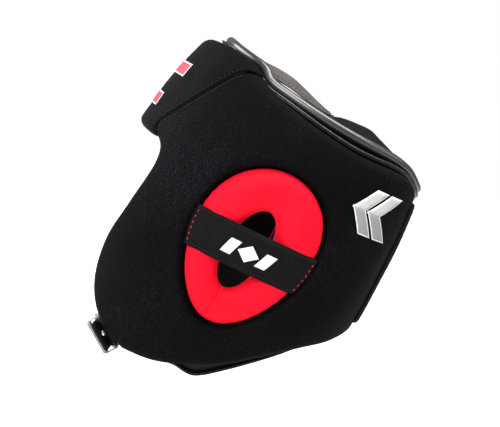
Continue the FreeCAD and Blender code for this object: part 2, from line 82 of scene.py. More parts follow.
def find_u(low, high, before):
    """The unrolled coordinate between two turns round the head at which before(u) stops being true."""
    for _ in range(40):
        turn = (low + high) / 2
        early = before(turn * UNROLL)
        low, high = np.where(early, turn, low), np.where(early, high, turn)
    return turn * UNROLL


def unroll(y, z, depth=0.0):
    """The unrolled coordinate of the left-hand surface at (y, z), depth millimetres down."""
    y, z = np.broadcast_arrays(np.asarray(y, float), np.asarray(z, float))
    return find_u(-math.pi / 2, math.pi / 2, lambda u: surface(u, z, depth)[..., 1] < y)


def unroll_front(x, z):
    """The unrolled coordinate of the front surface at (x, z)."""
    return float(find_u(-math.pi, 0.0, lambda u: surface(u, z)[..., 0] < x))


def unroll_back(x, z):
    """The unrolled coordinate of the left half of the back at (x, z)."""
    return find_u(0.0, math.pi / 2, lambda u: surface(u, z)[..., 0] > x)


def normals(u, z):
    """Outward unit normals of the head form."""
    along = surface(np.asarray(u) + 0.5, z) - surface(np.asarray(u) - 0.5, z)
    up = surface(u, np.asarray(z) + 0.5) - surface(u, np.asarray(z) - 0.5)
    n = np.cross(along, up)
    return n / np.linalg.norm(n, axis=-1, keepdims=True)


# ---- Curves ----
def curve(points, spacing, closed=False):
    """A smooth curve through the points, sampled evenly."""
    p = np.asarray(points, float)
    if closed:
        p = np.vstack([p[-1], p, p[0], p[1]])
    else:
        p = np.vstack([2 * p[0] - p[1], p, 2 * p[-1] - p[-2]])
    fine = []
    for a, b, c, d in zip(p[:-3], p[1:-2], p[2:-1], p[3:]):
        t = np.linspace(0, 1, 24, endpoint=False)[:, None]
        step = np.linalg.norm(c - b)
        m = (c - a) * step / max(1e-6, np.linalg.norm(b - a) + step)
        k = (d - b) * step / max(1e-6, np.linalg.norm(d - c) + step)
        fine.append((2 * t ** 3 - 3 * t ** 2 + 1) * b + (t ** 3 - 2 * t ** 2 + t) * m
                    + (3 * t ** 2 - 2 * t ** 3) * c + (t ** 3 - t ** 2) * k)
    fine = np.vstack(fine + [p[-2][None]])
    return resample(fine, spacing)[:-1] if closed else resample(fine, spacing)


def resample(points, spacing):
    gaps = np.linalg.norm(np.diff(points, axis=0), axis=1)
    at = np.concatenate([[0], np.cumsum(gaps)])
    count = max(2, int(round(at[-1] / spacing)))
    wanted = np.linspace(0, at[-1], count + 1)
    return np.stack([np.interp(wanted, at, points[:, i]) for i in range(points.shape[1])], 1)


def unrolled(points, spacing=2.5, depth=0.0):
    """A curve through side-view points (y, z) lying depth millimetres down, unrolled."""
    line = curve(points, spacing)
    return np.stack([unroll(*line.T, depth), line[:, 1]], 1)


def join(*pieces):
    """One closed outline with the edge softness of each stretch: pieces are (points, across, deep)."""
    points, soft = [], []
    for line, across, deep in pieces:
        for p in line:
            if not points or np.linalg.norm(points[-1] - p) > 0.6:
                points.append(np.array(p, float))
                soft.append((across, deep))
    if np.linalg.norm(points[0] - points[-1]) < 0.6:
        points.pop()
        soft.pop()
    points, soft = np.array(points), np.array(soft, float)
    for _ in range(3):
        soft = (np.roll(soft, 1, 0) + soft + np.roll(soft, -1, 0)) / 3
    return points, soft


def polygon(corners, spacing=1.5):
    """An outline with sharp corners."""
    line = np.array(list(corners) + [corners[0]], float)
    return np.vstack([resample(np.array([a, b]), spacing)[:-1] for a, b in zip(line[:-1], line[1:])])


def box_shape(u_low, u_high, z_low, z_high, slant=0.0):
    return [(u_low - slant, z_low), (u_high - slant, z_low),
            (u_high + slant, z_high), (u_low + slant, z_high)]


def rounded(corners, spacing):
    """An outline through round corners: (a, b, radius, start) with the arc's centre and its first quarter."""
    points = []
    for a, b, radius, start in corners:
        for k in range(5 if radius else 1):
            turn = (start + k / 4) * math.pi / 2
            points.append((a + radius * math.cos(turn), b + radius * math.sin(turn)))
    return resample(np.array(points + points[:1]), spacing)[:-1]


def loop_of(line, across, deep):
    """An outline with the same edge softness all round."""
    return line, np.tile([float(across), float(deep)], (len(line), 1))


# ---- Meshes ----
def make(name, verts, faces, material, scale=MM):
    mesh = bpy.data.meshes.new(name)
    mesh.from_pydata([tuple(v) for v in np.asarray(verts, float) * scale], [], [tuple(f) for f in faces])
    mesh.validate()
    obj = bpy.data.objects.new(name, mesh)
    bpy.context.scene.collection.objects.link(obj)
    for poly in mesh.polygons:
        poly.use_smooth = True
    mesh.materials.append(material)
    return obj


def outward(obj):
    """Turns a closed mesh's faces to look out."""
    bm = bmesh.new()
    bm.from_mesh(obj.data)
    bmesh.ops.recalc_face_normals(bm, faces=bm.faces)
    bm.to_mesh(obj.data)
    bm.free()
    return obj


def mirrored(obj, name):
    """A copy of a piece for the other side of the head."""
    copy = obj.copy()
    copy.data = obj.data.copy()
    copy.name = copy.data.name = name
    bpy.context.scene.collection.objects.link(copy)
    copy.data.transform(Matrix.Diagonal((-1, 1, 1, 1)))
    copy.data.flip_normals()
    return copy


def to_segments(points, a, b):
    """For each point and each segment from a to b: their distance, and where along the segment it is met."""
    d = b - a
    long = np.maximum((d ** 2).sum(1), 1e-9)
    t = (((points[:, None] - a) * d).sum(2) / long).clip(0, 1)
    return np.linalg.norm(points[:, None] - (a + t[..., None] * d), axis=2), t


def nearest(points, loops):
    """Distance of each point to the loops, and the edge softness there. Works through 2000 at a time."""
    best = np.full(len(points), 1e9)
    soft = np.zeros((len(points), 2))
    for line, edge in loops:
        for start in range(0, len(points), 2000):
            part = slice(start, start + 2000)
            gap, t = to_segments(points[part], line, np.roll(line, -1, 0))
            i = gap.argmin(1)
            g, share = gap[np.arange(len(i)), i], t[np.arange(len(i)), i][:, None]
            near = g < best[part]
            value = edge[i] * (1 - share) + np.roll(edge, -1, 0)[i] * share
            best[part] = np.where(near, g, best[part])
            soft[part] = np.where(near[:, None], value, soft[part])
    return best, soft


def inside(points, line):
    a, b = line, np.roll(line, -1, 0)
    x, y = points[:, 0][:, None], points[:, 1][:, None]
    crosses = (a[:, 1] > y) != (b[:, 1] > y)
    rise = np.where(np.abs(b[:, 1] - a[:, 1]) < 1e-12, 1e-12, b[:, 1] - a[:, 1])
    return (crosses & (x < (b[:, 0] - a[:, 0]) * (y - a[:, 1]) / rise + a[:, 0])).sum(1) % 2 == 1


def flat_mesh(outline, holes, spacing):
    """Triangles over an outline with holes, with rows of points along the edges where they are rounded."""
    loops = [outline] + list(holes)
    points, edges, spans = [], [], []
    for line, _ in loops:
        first, count = len(points), len(line)
        points += [tuple(p) for p in line]
        edges += [(first + i, first + (i + 1) % count) for i in range(count)]
        spans.append(range(first, first + count))
    cell, taken = 0.45, {}                           # two points never lie closer than a cell

    def take(p):
        taken.setdefault((int(p[0] // cell), int(p[1] // cell)), []).append(p)

    def free(p):
        """Whether no point lies close to p, which is then taken."""
        i, j = int(p[0] // cell), int(p[1] // cell)
        near = [q for a in (-1, 0, 1) for b in (-1, 0, 1) for q in taken.get((i + a, j + b), ())]
        if any(abs(q[0] - p[0]) + abs(q[1] - p[1]) < cell for q in near):
            return False
        take(p)
        return True

    for p in points:
        take(p)

    rows = []
    for k in range(1, 5):
        share = 1 - math.cos(k * math.pi / 8)
        for number, (line, edge) in enumerate(loops):
            along = np.roll(line, -1, 0) - np.roll(line, 1, 0)
            along /= np.linalg.norm(along, axis=1, keepdims=True)
            turn = 1.0 if (number == 0) == (signed_area(line) > 0) else -1.0
            across = np.stack([-along[:, 1], along[:, 0]], 1) * turn
            rows.append((line + across * edge[:, :1] * share, edge[:, 0] * share))
    for row, wanted in rows:
        gap, _ = nearest(row, loops)
        keep = gap > wanted * 0.96
        points += [tuple(p) for p, k in zip(row, keep) if k and free(tuple(p))]
    low, high = outline[0].min(0), outline[0].max(0)
    lattice = []
    for j, z in enumerate(np.arange(low[1], high[1], spacing * 0.87)):
        shift = spacing / 2 if j % 2 else 0.0
        lattice += [(u, z) for u in np.arange(low[0] + shift, high[0], spacing)]
    lattice = np.array(lattice)
    gap, soft = nearest(lattice, loops)
    good = (gap > soft[:, 0] + spacing * 0.5) & in_region(lattice, loops)
    points += [tuple(p) for p in lattice[good]]
    made = delaunay_2d_cdt([Vector(p) for p in points], edges, [], 0, 1e-5)
    flat = np.array([tuple(v) for v in made[0]])
    faces = np.array([f for f in made[2] if len(f) == 3])
    faces = faces[in_region(flat[faces].mean(1), loops)]
    a, b, c = flat[faces[:, 0]], flat[faces[:, 1]], flat[faces[:, 2]]
    clockwise = (b[:, 0] - a[:, 0]) * (c[:, 1] - a[:, 1]) < (b[:, 1] - a[:, 1]) * (c[:, 0] - a[:, 0])
    faces[clockwise] = faces[clockwise][:, ::-1]
    new = {old: i for i, olds in enumerate(made[3]) for old in olds}
    rims = [[new[i] for i in span] for span in spans]
    return flat, faces, rims, loops


def signed_area(line):
    a, b = line, np.roll(line, -1, 0)
    return 0.5 * float((a[:, 0] * b[:, 1] - b[:, 0] * a[:, 1]).sum())


def in_region(points, loops):
    good = inside(points, loops[0][0])
    for line, _ in loops[1:]:
        good &= ~inside(points, line)
    return good


def rounding(gap, across, deep):
    """How far a soft edge has dropped, gap millimetres in from the edge."""
    t = (1 - gap / np.maximum(across, 1e-6)).clip(0, 1)
    return deep * (1 - np.sqrt(1 - t ** 2))


def panel(name, material, outline, depths, holes, spacing, relief, back=3.0, wall_rows=2, place=surface):
    """A closed panel between two depths, with soft outer edges. place puts (u, z, depth) in space."""
    flat, faces, rims, loops = flat_mesh(outline, holes, spacing)
    gap, soft = nearest(flat, loops)
    u, z = flat[:, 0], flat[:, 1]
    top = depths[0] + rounding(gap, soft[:, 0], soft[:, 1])
    bottom = depths[1] - rounding(gap, soft[:, 0], np.full(len(flat), back))
    if relief:
        top = top + relief(u, z, gap)
    count = len(flat)
    verts = [place(u, z, top), place(u, z, bottom)]
    polys = [tuple(f) for f in faces] + [tuple(f[::-1] + count) for f in faces]
    base = 2 * count
    for rim in rims:
        rim = np.array(rim)
        rows = [rim]
        for k in range(1, wall_rows + 1):
            share = k / (wall_rows + 1)
            deep = top[rim] * (1 - share) + bottom[rim] * share
            verts.append(place(u[rim], z[rim], deep))
            rows.append(base + np.arange(len(rim)))
            base += len(rim)
        rows.append(rim + count)
        for upper, lower in zip(rows, rows[1:]):
            polys += zip(upper, lower, np.roll(lower, -1), np.roll(upper, -1))
    return outward(make(name, np.vstack(verts), polys, material))


def sheet(name, material, outline, edge, depths, spacing, back, place, holes=()):
    """A thin piece such as a flap, tape or strap. edge is how far in and how deep its edges are softened."""
    return panel(name, material, loop_of(outline, *edge), depths, holes, spacing, None, back, 1, place)


def frames(points, closed=False):
    """Directions along a line of points."""
    p = np.asarray(points, float)
    if closed:
        along = np.roll(p, -1, 0) - np.roll(p, 1, 0)
    else:
        along = np.gradient(p, axis=0)
    return along / np.linalg.norm(along, axis=1, keepdims=True)


def ring_faces(count, sides, base=0, closed=False):
    """The faces between successive rings of points."""
    faces = []
    for i in range(count if closed else count - 1):
        a, b = base + i * sides, base + (i + 1) % count * sides
        for k in range(sides):
            m = (k + 1) % sides
            faces.append((a + k, a + m, b + m, b + k))
    return faces


def tube(name, material, points, radius, closed=False, up=(0.31, 0.17, 0.94), sides=10):
    """A round cord or wire through the points. radius may be one value or one per point."""
    p = np.asarray(points, float)
    along = frames(p, closed)
    up = np.broadcast_to(np.asarray(up, float), p.shape)
    side = np.cross(along, up)
    side /= np.linalg.norm(side, axis=1, keepdims=True)
    rise = np.cross(side, along)
    r = np.broadcast_to(np.asarray(radius, float), (len(p),))[:, None]
    turns = [2 * math.pi * k / sides for k in range(sides)]
    rings = [p + side * r * math.cos(t) + rise * r * math.sin(t) for t in turns]
    verts = np.stack(rings, 1).reshape(-1, 3)
    faces = ring_faces(len(p), sides, closed=closed)
    if not closed:
        verts = np.vstack([verts, p[0], p[-1]])
        for end, centre in ((0, len(verts) - 2), (len(p) - 1, len(verts) - 1)):
            faces += [(centre, end * sides + k, end * sides + (k + 1) % sides) for k in range(sides)]
    return outward(make(name, verts, faces, material))


def stitches(name, material, rows, length, gap, thick, sink=0.1):
    """Rows of thread stitches. Each row is (points, normals) and every stitch lies along its row."""
    ring = [(-0.5, 0.25), (-0.3, 0.9), (0.0, 1.0), (0.3, 0.9), (0.5, 0.25)]
    verts, faces = [], []
    for points, upward in rows:
        p, up = np.asarray(points, float), np.asarray(upward, float)
        gaps = np.concatenate([[0], np.cumsum(np.linalg.norm(np.diff(p, axis=0), axis=1))])
        for start in np.arange(gap, gaps[-1] - length, length + gap):
            ends = [np.array([np.interp(s, gaps, p[:, i]) for i in range(3)])
                    for s in (start, start + length)]
            middle, along = (ends[0] + ends[1]) / 2, ends[1] - ends[0]
            n = np.array([np.interp(start, gaps, up[:, i]) for i in range(3)])
            side = np.cross(along, n)
            side /= np.linalg.norm(side)
            n = np.cross(side, along)
            n /= np.linalg.norm(n)
            base = len(verts)
            for share, fat in ring:
                lift = n * (thick * 0.9 * fat - sink - 0.5 * thick * (2 * abs(share)) ** 2)
                for turn in range(6):
                    a = turn * math.pi / 3
                    verts.append(middle + along * share + lift
                                 + (side * math.cos(a) + n * math.sin(a)) * thick * fat)
            faces += ring_faces(len(ring), 6, base)
            faces.append(tuple(base + k for k in range(5, -1, -1)))
            faces.append(tuple(base + 6 * (len(ring) - 1) + k for k in range(6)))
    return outward(make(name, verts, faces, material))


def row_on(place, t, w):
    """A stitch row on a piece: its points, and the way out of the piece at each."""
    t, w = np.broadcast_arrays(t, w)
    points = place(t, w, 0.0)
    return points, points - place(t, w, 1.0)


def on_surface(line, depth):
    """Points and normals for an unrolled line."""
    return surface(*line.T, depth), normals(*line.T)


def beside(line, distance):
    """An unrolled open line moved sideways."""
    along = np.gradient(line, axis=0)
    along /= np.linalg.norm(along, axis=1, keepdims=True)
    return line + np.stack([-along[:, 1], along[:, 0]], 1) * distance


def show(obj, body, slot, *nodes):
    """Attaches a finished piece to its body and hides the nodes it stands for. slot is not used."""
    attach(obj, body)
    if nodes:
        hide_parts(*nodes)
    return obj


# ---- Materials ----
class Nodes:
    """A material's node tree, built a call at a time."""

    def __init__(self, name):
        self.material = bpy.data.materials.new(name)
        self.material.use_nodes = True
        self.tree = self.material.node_tree
        self.shader = self.tree.nodes["Principled BSDF"]
        self.place = self.add("ShaderNodeTexCoord").outputs["Object"]

    def add(self, kind, **inputs):
        node = self.tree.nodes.new(kind)
        for key, value in inputs.items():
            self.feed(node, key.replace("_", " "), value)
        return node

    def feed(self, node, key, value):
        socket = node.inputs[int(key) if key.isdigit() else key]
        if isinstance(value, bpy.types.NodeSocket):
            self.tree.links.new(value, socket)
        else:
            socket.default_value = value

    def set(self, **inputs):
        for key, value in inputs.items():
            self.feed(self.shader, key.replace("_", " "), value)

    def noise(self, scale, detail=2.0, rough=0.5):
        node = self.add("ShaderNodeTexNoise", Vector=self.place, Scale=scale, Detail=detail, Roughness=rough)
        return node.outputs["Fac"]

    def cells(self, scale):
        return self.add("ShaderNodeTexVoronoi", Vector=self.place, Scale=scale).outputs["Distance"]

    def wave(self, scale, turn, distort=0.0):
        spin = self.add("ShaderNodeMapping", Vector=self.place, Rotation=turn)
        node = self.add("ShaderNodeTexWave", Vector=spin.outputs["Vector"], Scale=scale, Distortion=distort)
        return node.outputs["Fac"]

    def ramp(self, value, *stops):
        node = self.add("ShaderNodeValToRGB", Fac=value)
        ramp = node.color_ramp
        while len(ramp.elements) < len(stops):
            ramp.elements.new(0.5)
        for element, (place, colour) in zip(ramp.elements, stops):
            element.position = place
            element.color = (*colour, 1.0) if len(colour) == 3 else colour
        return node.outputs["Color"]

    def math(self, how, a, b):
        node = self.tree.nodes.new("ShaderNodeMath")
        node.operation = how
        self.feed(node, "0", a)
        self.feed(node, "1", b)
        return node.outputs["Value"]

    def mix(self, first, first_share, second, second_share):
        return self.math("ADD", self.math("MULTIPLY", first, first_share),
                         self.math("MULTIPLY", second, second_share))

    def spread(self, value, low, high):
        node = self.add("ShaderNodeMapRange", Value=value, To_Min=low, To_Max=high)
        return node.outputs["Result"]

    def bump(self, height, strength, distance, after=None):
        node = self.add("ShaderNodeBump", Height=height, Strength=strength, Distance=distance)
        if after:
            self.tree.links.new(after, node.inputs["Normal"])
        return node.outputs["Normal"]


def grey(value, tint=(1.0, 1.0, 1.0)):
    return tuple(value * t for t in tint)


def neoprene():
    n = Nodes("neoprene")
    speckle = n.noise(620.0, 4.0, 0.85)
    tone = n.mix(speckle, 0.75, n.noise(14.0, 4.0), 0.25)
    tint = (0.92, 0.88, 1.26)
    fleck = n.ramp(n.cells(210.0), (0.0, grey(0.16)), (0.045, grey(0.0)))
    base = n.ramp(tone, (0.40, grey(0.0003, tint)), (0.52, grey(0.0011, tint)), (0.66, grey(0.014, tint)))
    mix = n.add("ShaderNodeVectorMath", **{"0": base, "1": fleck})
    n.set(Base_Color=mix.outputs["Vector"])
    n.set(Roughness=n.spread(speckle, 0.60, 0.85), Specular_IOR_Level=0.07)
    n.set(Sheen_Weight=0.011, Sheen_Roughness=0.35, Sheen_Tint=(0.78, 0.76, 1.0, 1.0))
    knit = n.bump(n.cells(1300.0), 0.35, 0.0003)
    n.set(Normal=n.bump(n.noise(60.0, 3.0), 0.25, 0.001, knit))
    return n.material


def red_fabric():
    n = Nodes("red_fabric")
    tone = n.mix(n.noise(1100.0, 2.0), 0.6, n.noise(25.0), 0.4)
    n.set(Base_Color=n.ramp(tone, (0.25, (0.66, 0.001, 0.012)), (0.55, (0.90, 0.002, 0.020)),
                            (0.8, (0.98, 0.006, 0.032))))
    n.set(Roughness=n.spread(tone, 0.52, 0.70), Specular_IOR_Level=0.12, Sheen_Weight=0.02,
          Sheen_Tint=(1.0, 0.35, 0.40, 1.0))
    knit = n.bump(n.wave(420.0, (0.3, 0.0, -1.571), distort=2.0), 0.18, 0.0002)
    n.set(Normal=n.bump(n.noise(70.0, 3.0), 0.18, 0.001, knit))
    return n.material


def woven(name, dark, light, scale, rib_turn, thread_turn, rough=0.75, tint=(1.0, 1.0, 1.0)):
    """Twill or webbing: ribs crossed by finer threads. tint warms or cools it."""
    n = Nodes(name)
    weave = n.mix(n.wave(scale, rib_turn), 0.6, n.wave(scale * 1.7, thread_turn), 0.4)
    tone = n.mix(weave, 0.5, n.noise(140.0, 4.0), 0.5)
    n.set(Base_Color=n.ramp(tone, (0.2, grey(dark, tint)), (0.85, grey(light, tint))))
    n.set(Roughness=n.spread(weave, rough - 0.1, rough + 0.1), Specular_IOR_Level=0.12)
    n.set(Normal=n.bump(weave, 0.5, 0.0003))
    return n.material


def vinyl(name, rough, shine, dark, light):
    n = Nodes(name)
    grain, tint = n.cells(520.0), (1.06, 1.0, 0.92)
    n.set(Base_Color=n.ramp(n.noise(30.0, 3.0), (0.3, grey(dark, tint)), (0.8, grey(light, tint))))
    n.set(Roughness=n.spread(n.noise(45.0, 4.0), rough, rough + 0.18), Specular_IOR_Level=shine,
          Coat_Weight=shine * 0.5, Coat_Roughness=rough * 0.8)
    n.set(Normal=n.bump(n.noise(55.0, 3.0), 0.25, 0.0012, n.bump(grain, 0.10, 0.0002)))
    return n.material


def print_ink(name, colour, dirt):
    n = Nodes(name)
    weave = n.cells(1300.0)
    tone = n.mix(n.noise(160.0, 4.0), 0.6, weave, 0.5)
    n.set(Base_Color=n.ramp(tone, (0.15, dirt), (0.45, colour)))
    n.set(Roughness=n.spread(tone, 0.38, 0.6), Normal=n.bump(weave, 0.3, 0.0002))
    return n.material


def tape(name, scale, strength):
    """Hook or loop tape: dense rows of small hooks, or a tangled pile."""
    n = Nodes(name)
    pile = n.cells(scale)
    n.set(Base_Color=n.ramp(pile, (0.1, grey(0.05)), (0.7, grey(0.008))))
    n.set(Roughness=0.8, Normal=n.bump(n.math("SUBTRACT", 1.0, pile), strength, 0.0012))
    return n.material


def steel():
    n = Nodes("steel")
    wear = n.noise(300.0, 5.0, 0.6)
    n.set(Base_Color=n.ramp(wear, (0.3, grey(0.22)), (0.7, grey(0.46))))
    n.set(Metallic=1.0, Roughness=n.spread(wear, 0.26, 0.46))
    n.set(Normal=n.bump(n.noise(900.0, 4.0), 0.12, 0.0002))
    return n.material


def plain(name, dark, light, rough, scale=200.0):
    n = Nodes(name)
    fac = n.noise(scale, 4.0)
    n.set(Base_Color=n.ramp(fac, (0.3, dark), (0.7, light)))
    n.set(Roughness=n.spread(fac, rough - 0.08, rough + 0.08), Normal=n.bump(fac, 0.2, 0.0003))
    return n.material


NEOPRENE = neoprene()
RED = red_fabric()
VINYL = vinyl("vinyl", 0.20, 0.5, 0.004, 0.012)
RIM_VINYL = vinyl("rim_vinyl", 0.22, 0.9, 0.010, 0.026)
LINING = vinyl("lining_vinyl", 0.36, 0.16, 0.0025, 0.007)
ELASTIC = woven("elastic", 0.0006, 0.0070, 330.0, (0.78, 0.0, -1.571), (-0.78, 0.0, -1.571))
WEBBING = woven("webbing", 0.005, 0.026, 260.0, (0.0, 0.0, 0.0), (0.6, 0.0, -1.571))
FLAP = woven("flap_fabric", 0.002, 0.009, 240.0, (0.0, 0.0, 0.78), (0.0, 0.0, -0.78), 0.8)
THREAD = plain("thread", grey(0.0006), grey(0.004), 0.85, 900.0)
RED_THREAD = plain("red_thread", (0.35, 0.002, 0.010), (0.60, 0.006, 0.022), 0.6, 900.0)
WHITE = print_ink("white_print", grey(0.86), grey(0.70))
SILVER = print_ink("silver_print", grey(0.56, (1.0, 1.0, 0.95)), grey(0.44, (1.0, 1.0, 0.96)))
# A darker copy of the silver print for the lower chevrons: painted shade on the lower half of the mark.
SILVER_PAINTED_SHADE = print_ink("silver_print_painted_shade", grey(0.30, (0.96, 0.99, 1.0)), grey(0.22, (0.96, 0.99, 1.0)))
RED_PRINT = print_ink("red_print", (0.74, 0.06, 0.10), (0.58, 0.04, 0.07))
PIPING_TRIM = plain("piping", grey(0.012), grey(0.05), 0.30)
# A lighter, warm copy of the flap fabric for the front crown flap: painted light standing in for its lit
# inner face.
FLAP_PAINTED_LIGHT = woven("flap_painted_light", 0.045, 0.14, 240.0, (0.0, 0.0, 0.78), (0.0, 0.0, -0.78), 0.75,
                  (1.12, 1.0, 0.90))
HOOK = tape("hook_tape", 900.0, 0.9)
LOOP = tape("loop_tape", 1500.0, 0.6)
STEEL = steel()

# ---- Outlines of the panels, in the side view (y, z) ----
SEAM = [(-104.8, 41.6), (-107.6, 47.5), (-106.6, 54.0), (-100.0, 64.5), (-86.0, 86.0), (-71.0, 108.0),
        (-66.0, 113.6), (-60.0, 117.2), (-53.5, 118.6)]
TOP = [(-53.5, 118.2), (-46.0, 114.2), (-36.0, 110.6), (-19.3, 106.4), (13.8, 100.4), (48.5, 96.6),
       (70.0, 96.8), (85.0, 97.2), (94.0, 95.6), (100.5, 92.0), (104.4, 85.0)]
BOTTOM = [(104.4, -33.6), (100.8, -41.0), (92.2, -48.8), (72.0, -60.6), (45.6, -79.4), (15.0, -100.0),
          (-18.0, -114.4), (-36.0, -119.6), (-58.0, -122.0)]
CHEEK = [(-58.0, -122.0), (-75.0, -116.6), (-90.2, -106.0), (-99.4, -92.8), (-105.4, -76.8),
         (-107.9, -59.4), (-107.7, -38.2), (-103.6, -13.2), (-99.8, 7.8), (-98.0, 22.0), (-99.2, 33.0),
         (-104.8, 41.6)]
BROW_BOTTOM = [(-105.4, 41.3), (-111.0, 40.2), (-118.0, 40.4)]
BROW_MIDDLE, BROW_PEAK = 41.0, 128.2
BROW_TOP = [(-85.0, 128.6), (-68.0, 125.2), (-54.2, 119.4)]
LINING_TOP = [(-49.0, 121.5), (-44.0, 117.0), (-36.0, 115.0), (0.0, 110.5), (45.0, 106.5), (68.0, 104.5),
              (76.0, 100.0), (79.0, 94.0)]
LINING_BOTTOM = [(78.5, -53.0), (60.0, -70.0), (44.0, -84.0), (28.0, -98.0), (12.0, -111.6)]
LINING_CORNER = [(12.0, -111.6), (4.0, -116.4), (-3.0, -117.0), (-12.0, -115.5), (-20.0, -116.2)]
LINING_JAW = [(-20.0, -116.2), (-32.0, -114.5), (-56.0, -118.0)]
BROW_LINING_TOP = [(-77.0, 130.4), (-64.0, 127.0), (-50.0, 122.0)]
RIM = [(-83.0, 132.0), (-75.0, 130.0), (-61.0, 127.4), (-52.5, 125.9), (-47.0, 122.6), (-44.0, 119.2),
       (-36.6, 116.6), (-18.0, 113.6), (9.7, 109.8), (32.4, 107.8), (52.8, 106.8), (72.6, 105.8),
       (86.5, 102.6)]
PIPING = [(-85.0, 129.8), (-69.0, 126.4), (-57.0, 121.3), (-49.7, 118.6), (-42.3, 113.9), (-22.4, 110.2),
          (7.9, 104.6), (35.7, 100.8), (57.8, 100.4), (74.3, 101.0), (87.0, 98.8)]
REAR_X = 25.0

# Ear openings
EAR_Y, EAR_Z, RING_HALF_WIDTH, RING_HALF_HEIGHT = 0.1, -3.2, 49.1, 63.3
RING_EGG, RING_LEAN = 0.165, 0.065                    # wider at the top, and leaning back
HOLE_Y, HOLE_Z, HOLE_HALF_WIDTH, HOLE_HALF_HEIGHT, HOLE_LEAN = -0.9, -5.4, 16.0, 33.6, math.radians(7.4)
RING_SLOT = 2.8
STRAP_Z, STRAP_HALF = -4.6, 16.2
RING_SEAM = [(-5.6, -37.0), (-7.6, -50.0), (-10.2, -66.0)]


def ear_loop(point, count, spacing):
    """A closed outline, unrolled, through count side-view points given by their turn."""
    places = [point(2 * math.pi * i / count) for i in range(count)]
    return curve([(float(unroll(y, z)), z) for y, z in places], spacing, closed=True)


def egg(grow, spacing=2.2):
    """The ear ring's outline, made larger by grow."""
    def point(turn):
        height = math.sin(turn)
        rise, half = (RING_HALF_HEIGHT + grow) * height, (RING_HALF_WIDTH + grow) * math.cos(turn)
        return EAR_Y + RING_LEAN * rise + half * (1 + RING_EGG * height), EAR_Z + rise
    return ear_loop(point, 48, spacing)


def ear_hole(grow, spacing=2.0):
    """The outline of the ring's opening, made larger by grow."""
    def point(turn):
        a, b = (HOLE_HALF_WIDTH + grow) * math.cos(turn), (HOLE_HALF_HEIGHT + grow) * math.sin(turn)
        return (HOLE_Y + a * math.cos(HOLE_LEAN) + b * math.sin(HOLE_LEAN),
                HOLE_Z + b * math.cos(HOLE_LEAN) - a * math.sin(HOLE_LEAN))
    return ear_loop(point, 36, spacing)


def rear_edge(z_from, z_to, x):
    """An unrolled line up the back, x to the left of the middle."""
    z = np.linspace(z_from, z_to, max(3, int(abs(z_to - z_from) / 3)))
    return np.stack([unroll_back(x, z), z], 1)


def ripple(size, amount, seed):
    """Slight unevenness of sewn padding."""
    def value(u, z):
        return np.array([noise.noise(Vector((a / size, b / size, seed))) for a, b in zip(u, z)]) * amount
    return value


def both_sides(left, slot, *nodes):
    """Shows a left-hand piece of the shell and its mirror image. Nodes are named without their side."""
    right = mirrored(left, "right_" + left.name)
    left.name = left.data.name = "left_" + left.name
    show(left, "shell", slot, *["left_" + node for node in nodes])
    show(right, "shell", slot, *["right_" + node for node in nodes])


# ---- Side panels ----
def side_outline():
    return join((unrolled(TOP)[::-1], 6.0, 5.5),
                (beside(unrolled(SEAM), -0.35)[::-1], 2.4, 2.2),
                (unrolled(CHEEK)[::-1], 7.5, 7.5),
                (unrolled(BOTTOM)[::-1], 7.5, 7.5),
                (rear_edge(-27.0, 79.0, REAR_X), 5.0, 5.0))


def side_relief(u, z, gap):
    swell = -0.9 * (1 - np.exp(-(gap / 22.0) ** 2))
    return swell + ripple(34.0, 0.7, 3.1)(u, z)


side = panel("side_panel", NEOPRENE, side_outline(), (FACE, SHELL), [loop_of(egg(RING_SLOT), 7.5, 7.5)], 4.0,
             side_relief)
both_sides(side, "neoprene", "side_cover", "side_foam")


# ---- Forehead panel ----
def mirror_outline(points, soft):
    """Closes half an outline, whose ends lie on the middle of the face, with its mirror image."""
    other = np.stack([2 * FRONT_U - points[:, 0], points[:, 1]], 1)[::-1]
    return np.vstack([points, other[1:-1]]), np.vstack([soft, soft[::-1][1:-1]])


def brow_bottom():
    return resample(np.vstack([unrolled(BROW_BOTTOM), [FRONT_U, BROW_MIDDLE]]), 2.5)[::-1]


def brow_outline():
    top = curve(np.vstack([[FRONT_U, BROW_PEAK], unrolled(BROW_TOP)]), 2.5)
    seam = beside(unrolled(SEAM), 0.35)
    return mirror_outline(*join((brow_bottom(), 6.5, 6.0), (seam, 2.4, 2.2), (top[::-1], 6.5, 6.0)))


def brow_relief(u, z, gap):
    low = -1.2 * np.exp(-((z - 47.0) / 9.0) ** 2)
    return low - 0.5 * (1 - np.exp(-(gap / 20.0) ** 2)) + ripple(30.0, 0.5, 7.7)(u, z)


forehead = panel("forehead_panel", NEOPRENE, brow_outline(), (FACE, SHELL), (), 4.0, brow_relief)
show(forehead, "shell", "neoprene", "forehead_cover", "forehead_foam")

# The seam between forehead and sides: a narrow welt between two rows of stitches.
seam_line = unrolled(SEAM, 1.2)[3:-8]
welt = tube("seam_welt", NEOPRENE, surface(*seam_line.T, 1.5), 0.85, sides=8)
both_sides(welt, "neoprene")
rows = [on_surface(beside(seam_line, distance), 0.25) for distance in (-3.3, 3.3)]
both_sides(stitches("seam_stitches", THREAD, rows, 2.2, 1.5, 0.42, 0.15), "neoprene")


# ---- Padded pieces swollen as cloth ----
PUFF_FRAMES = 20


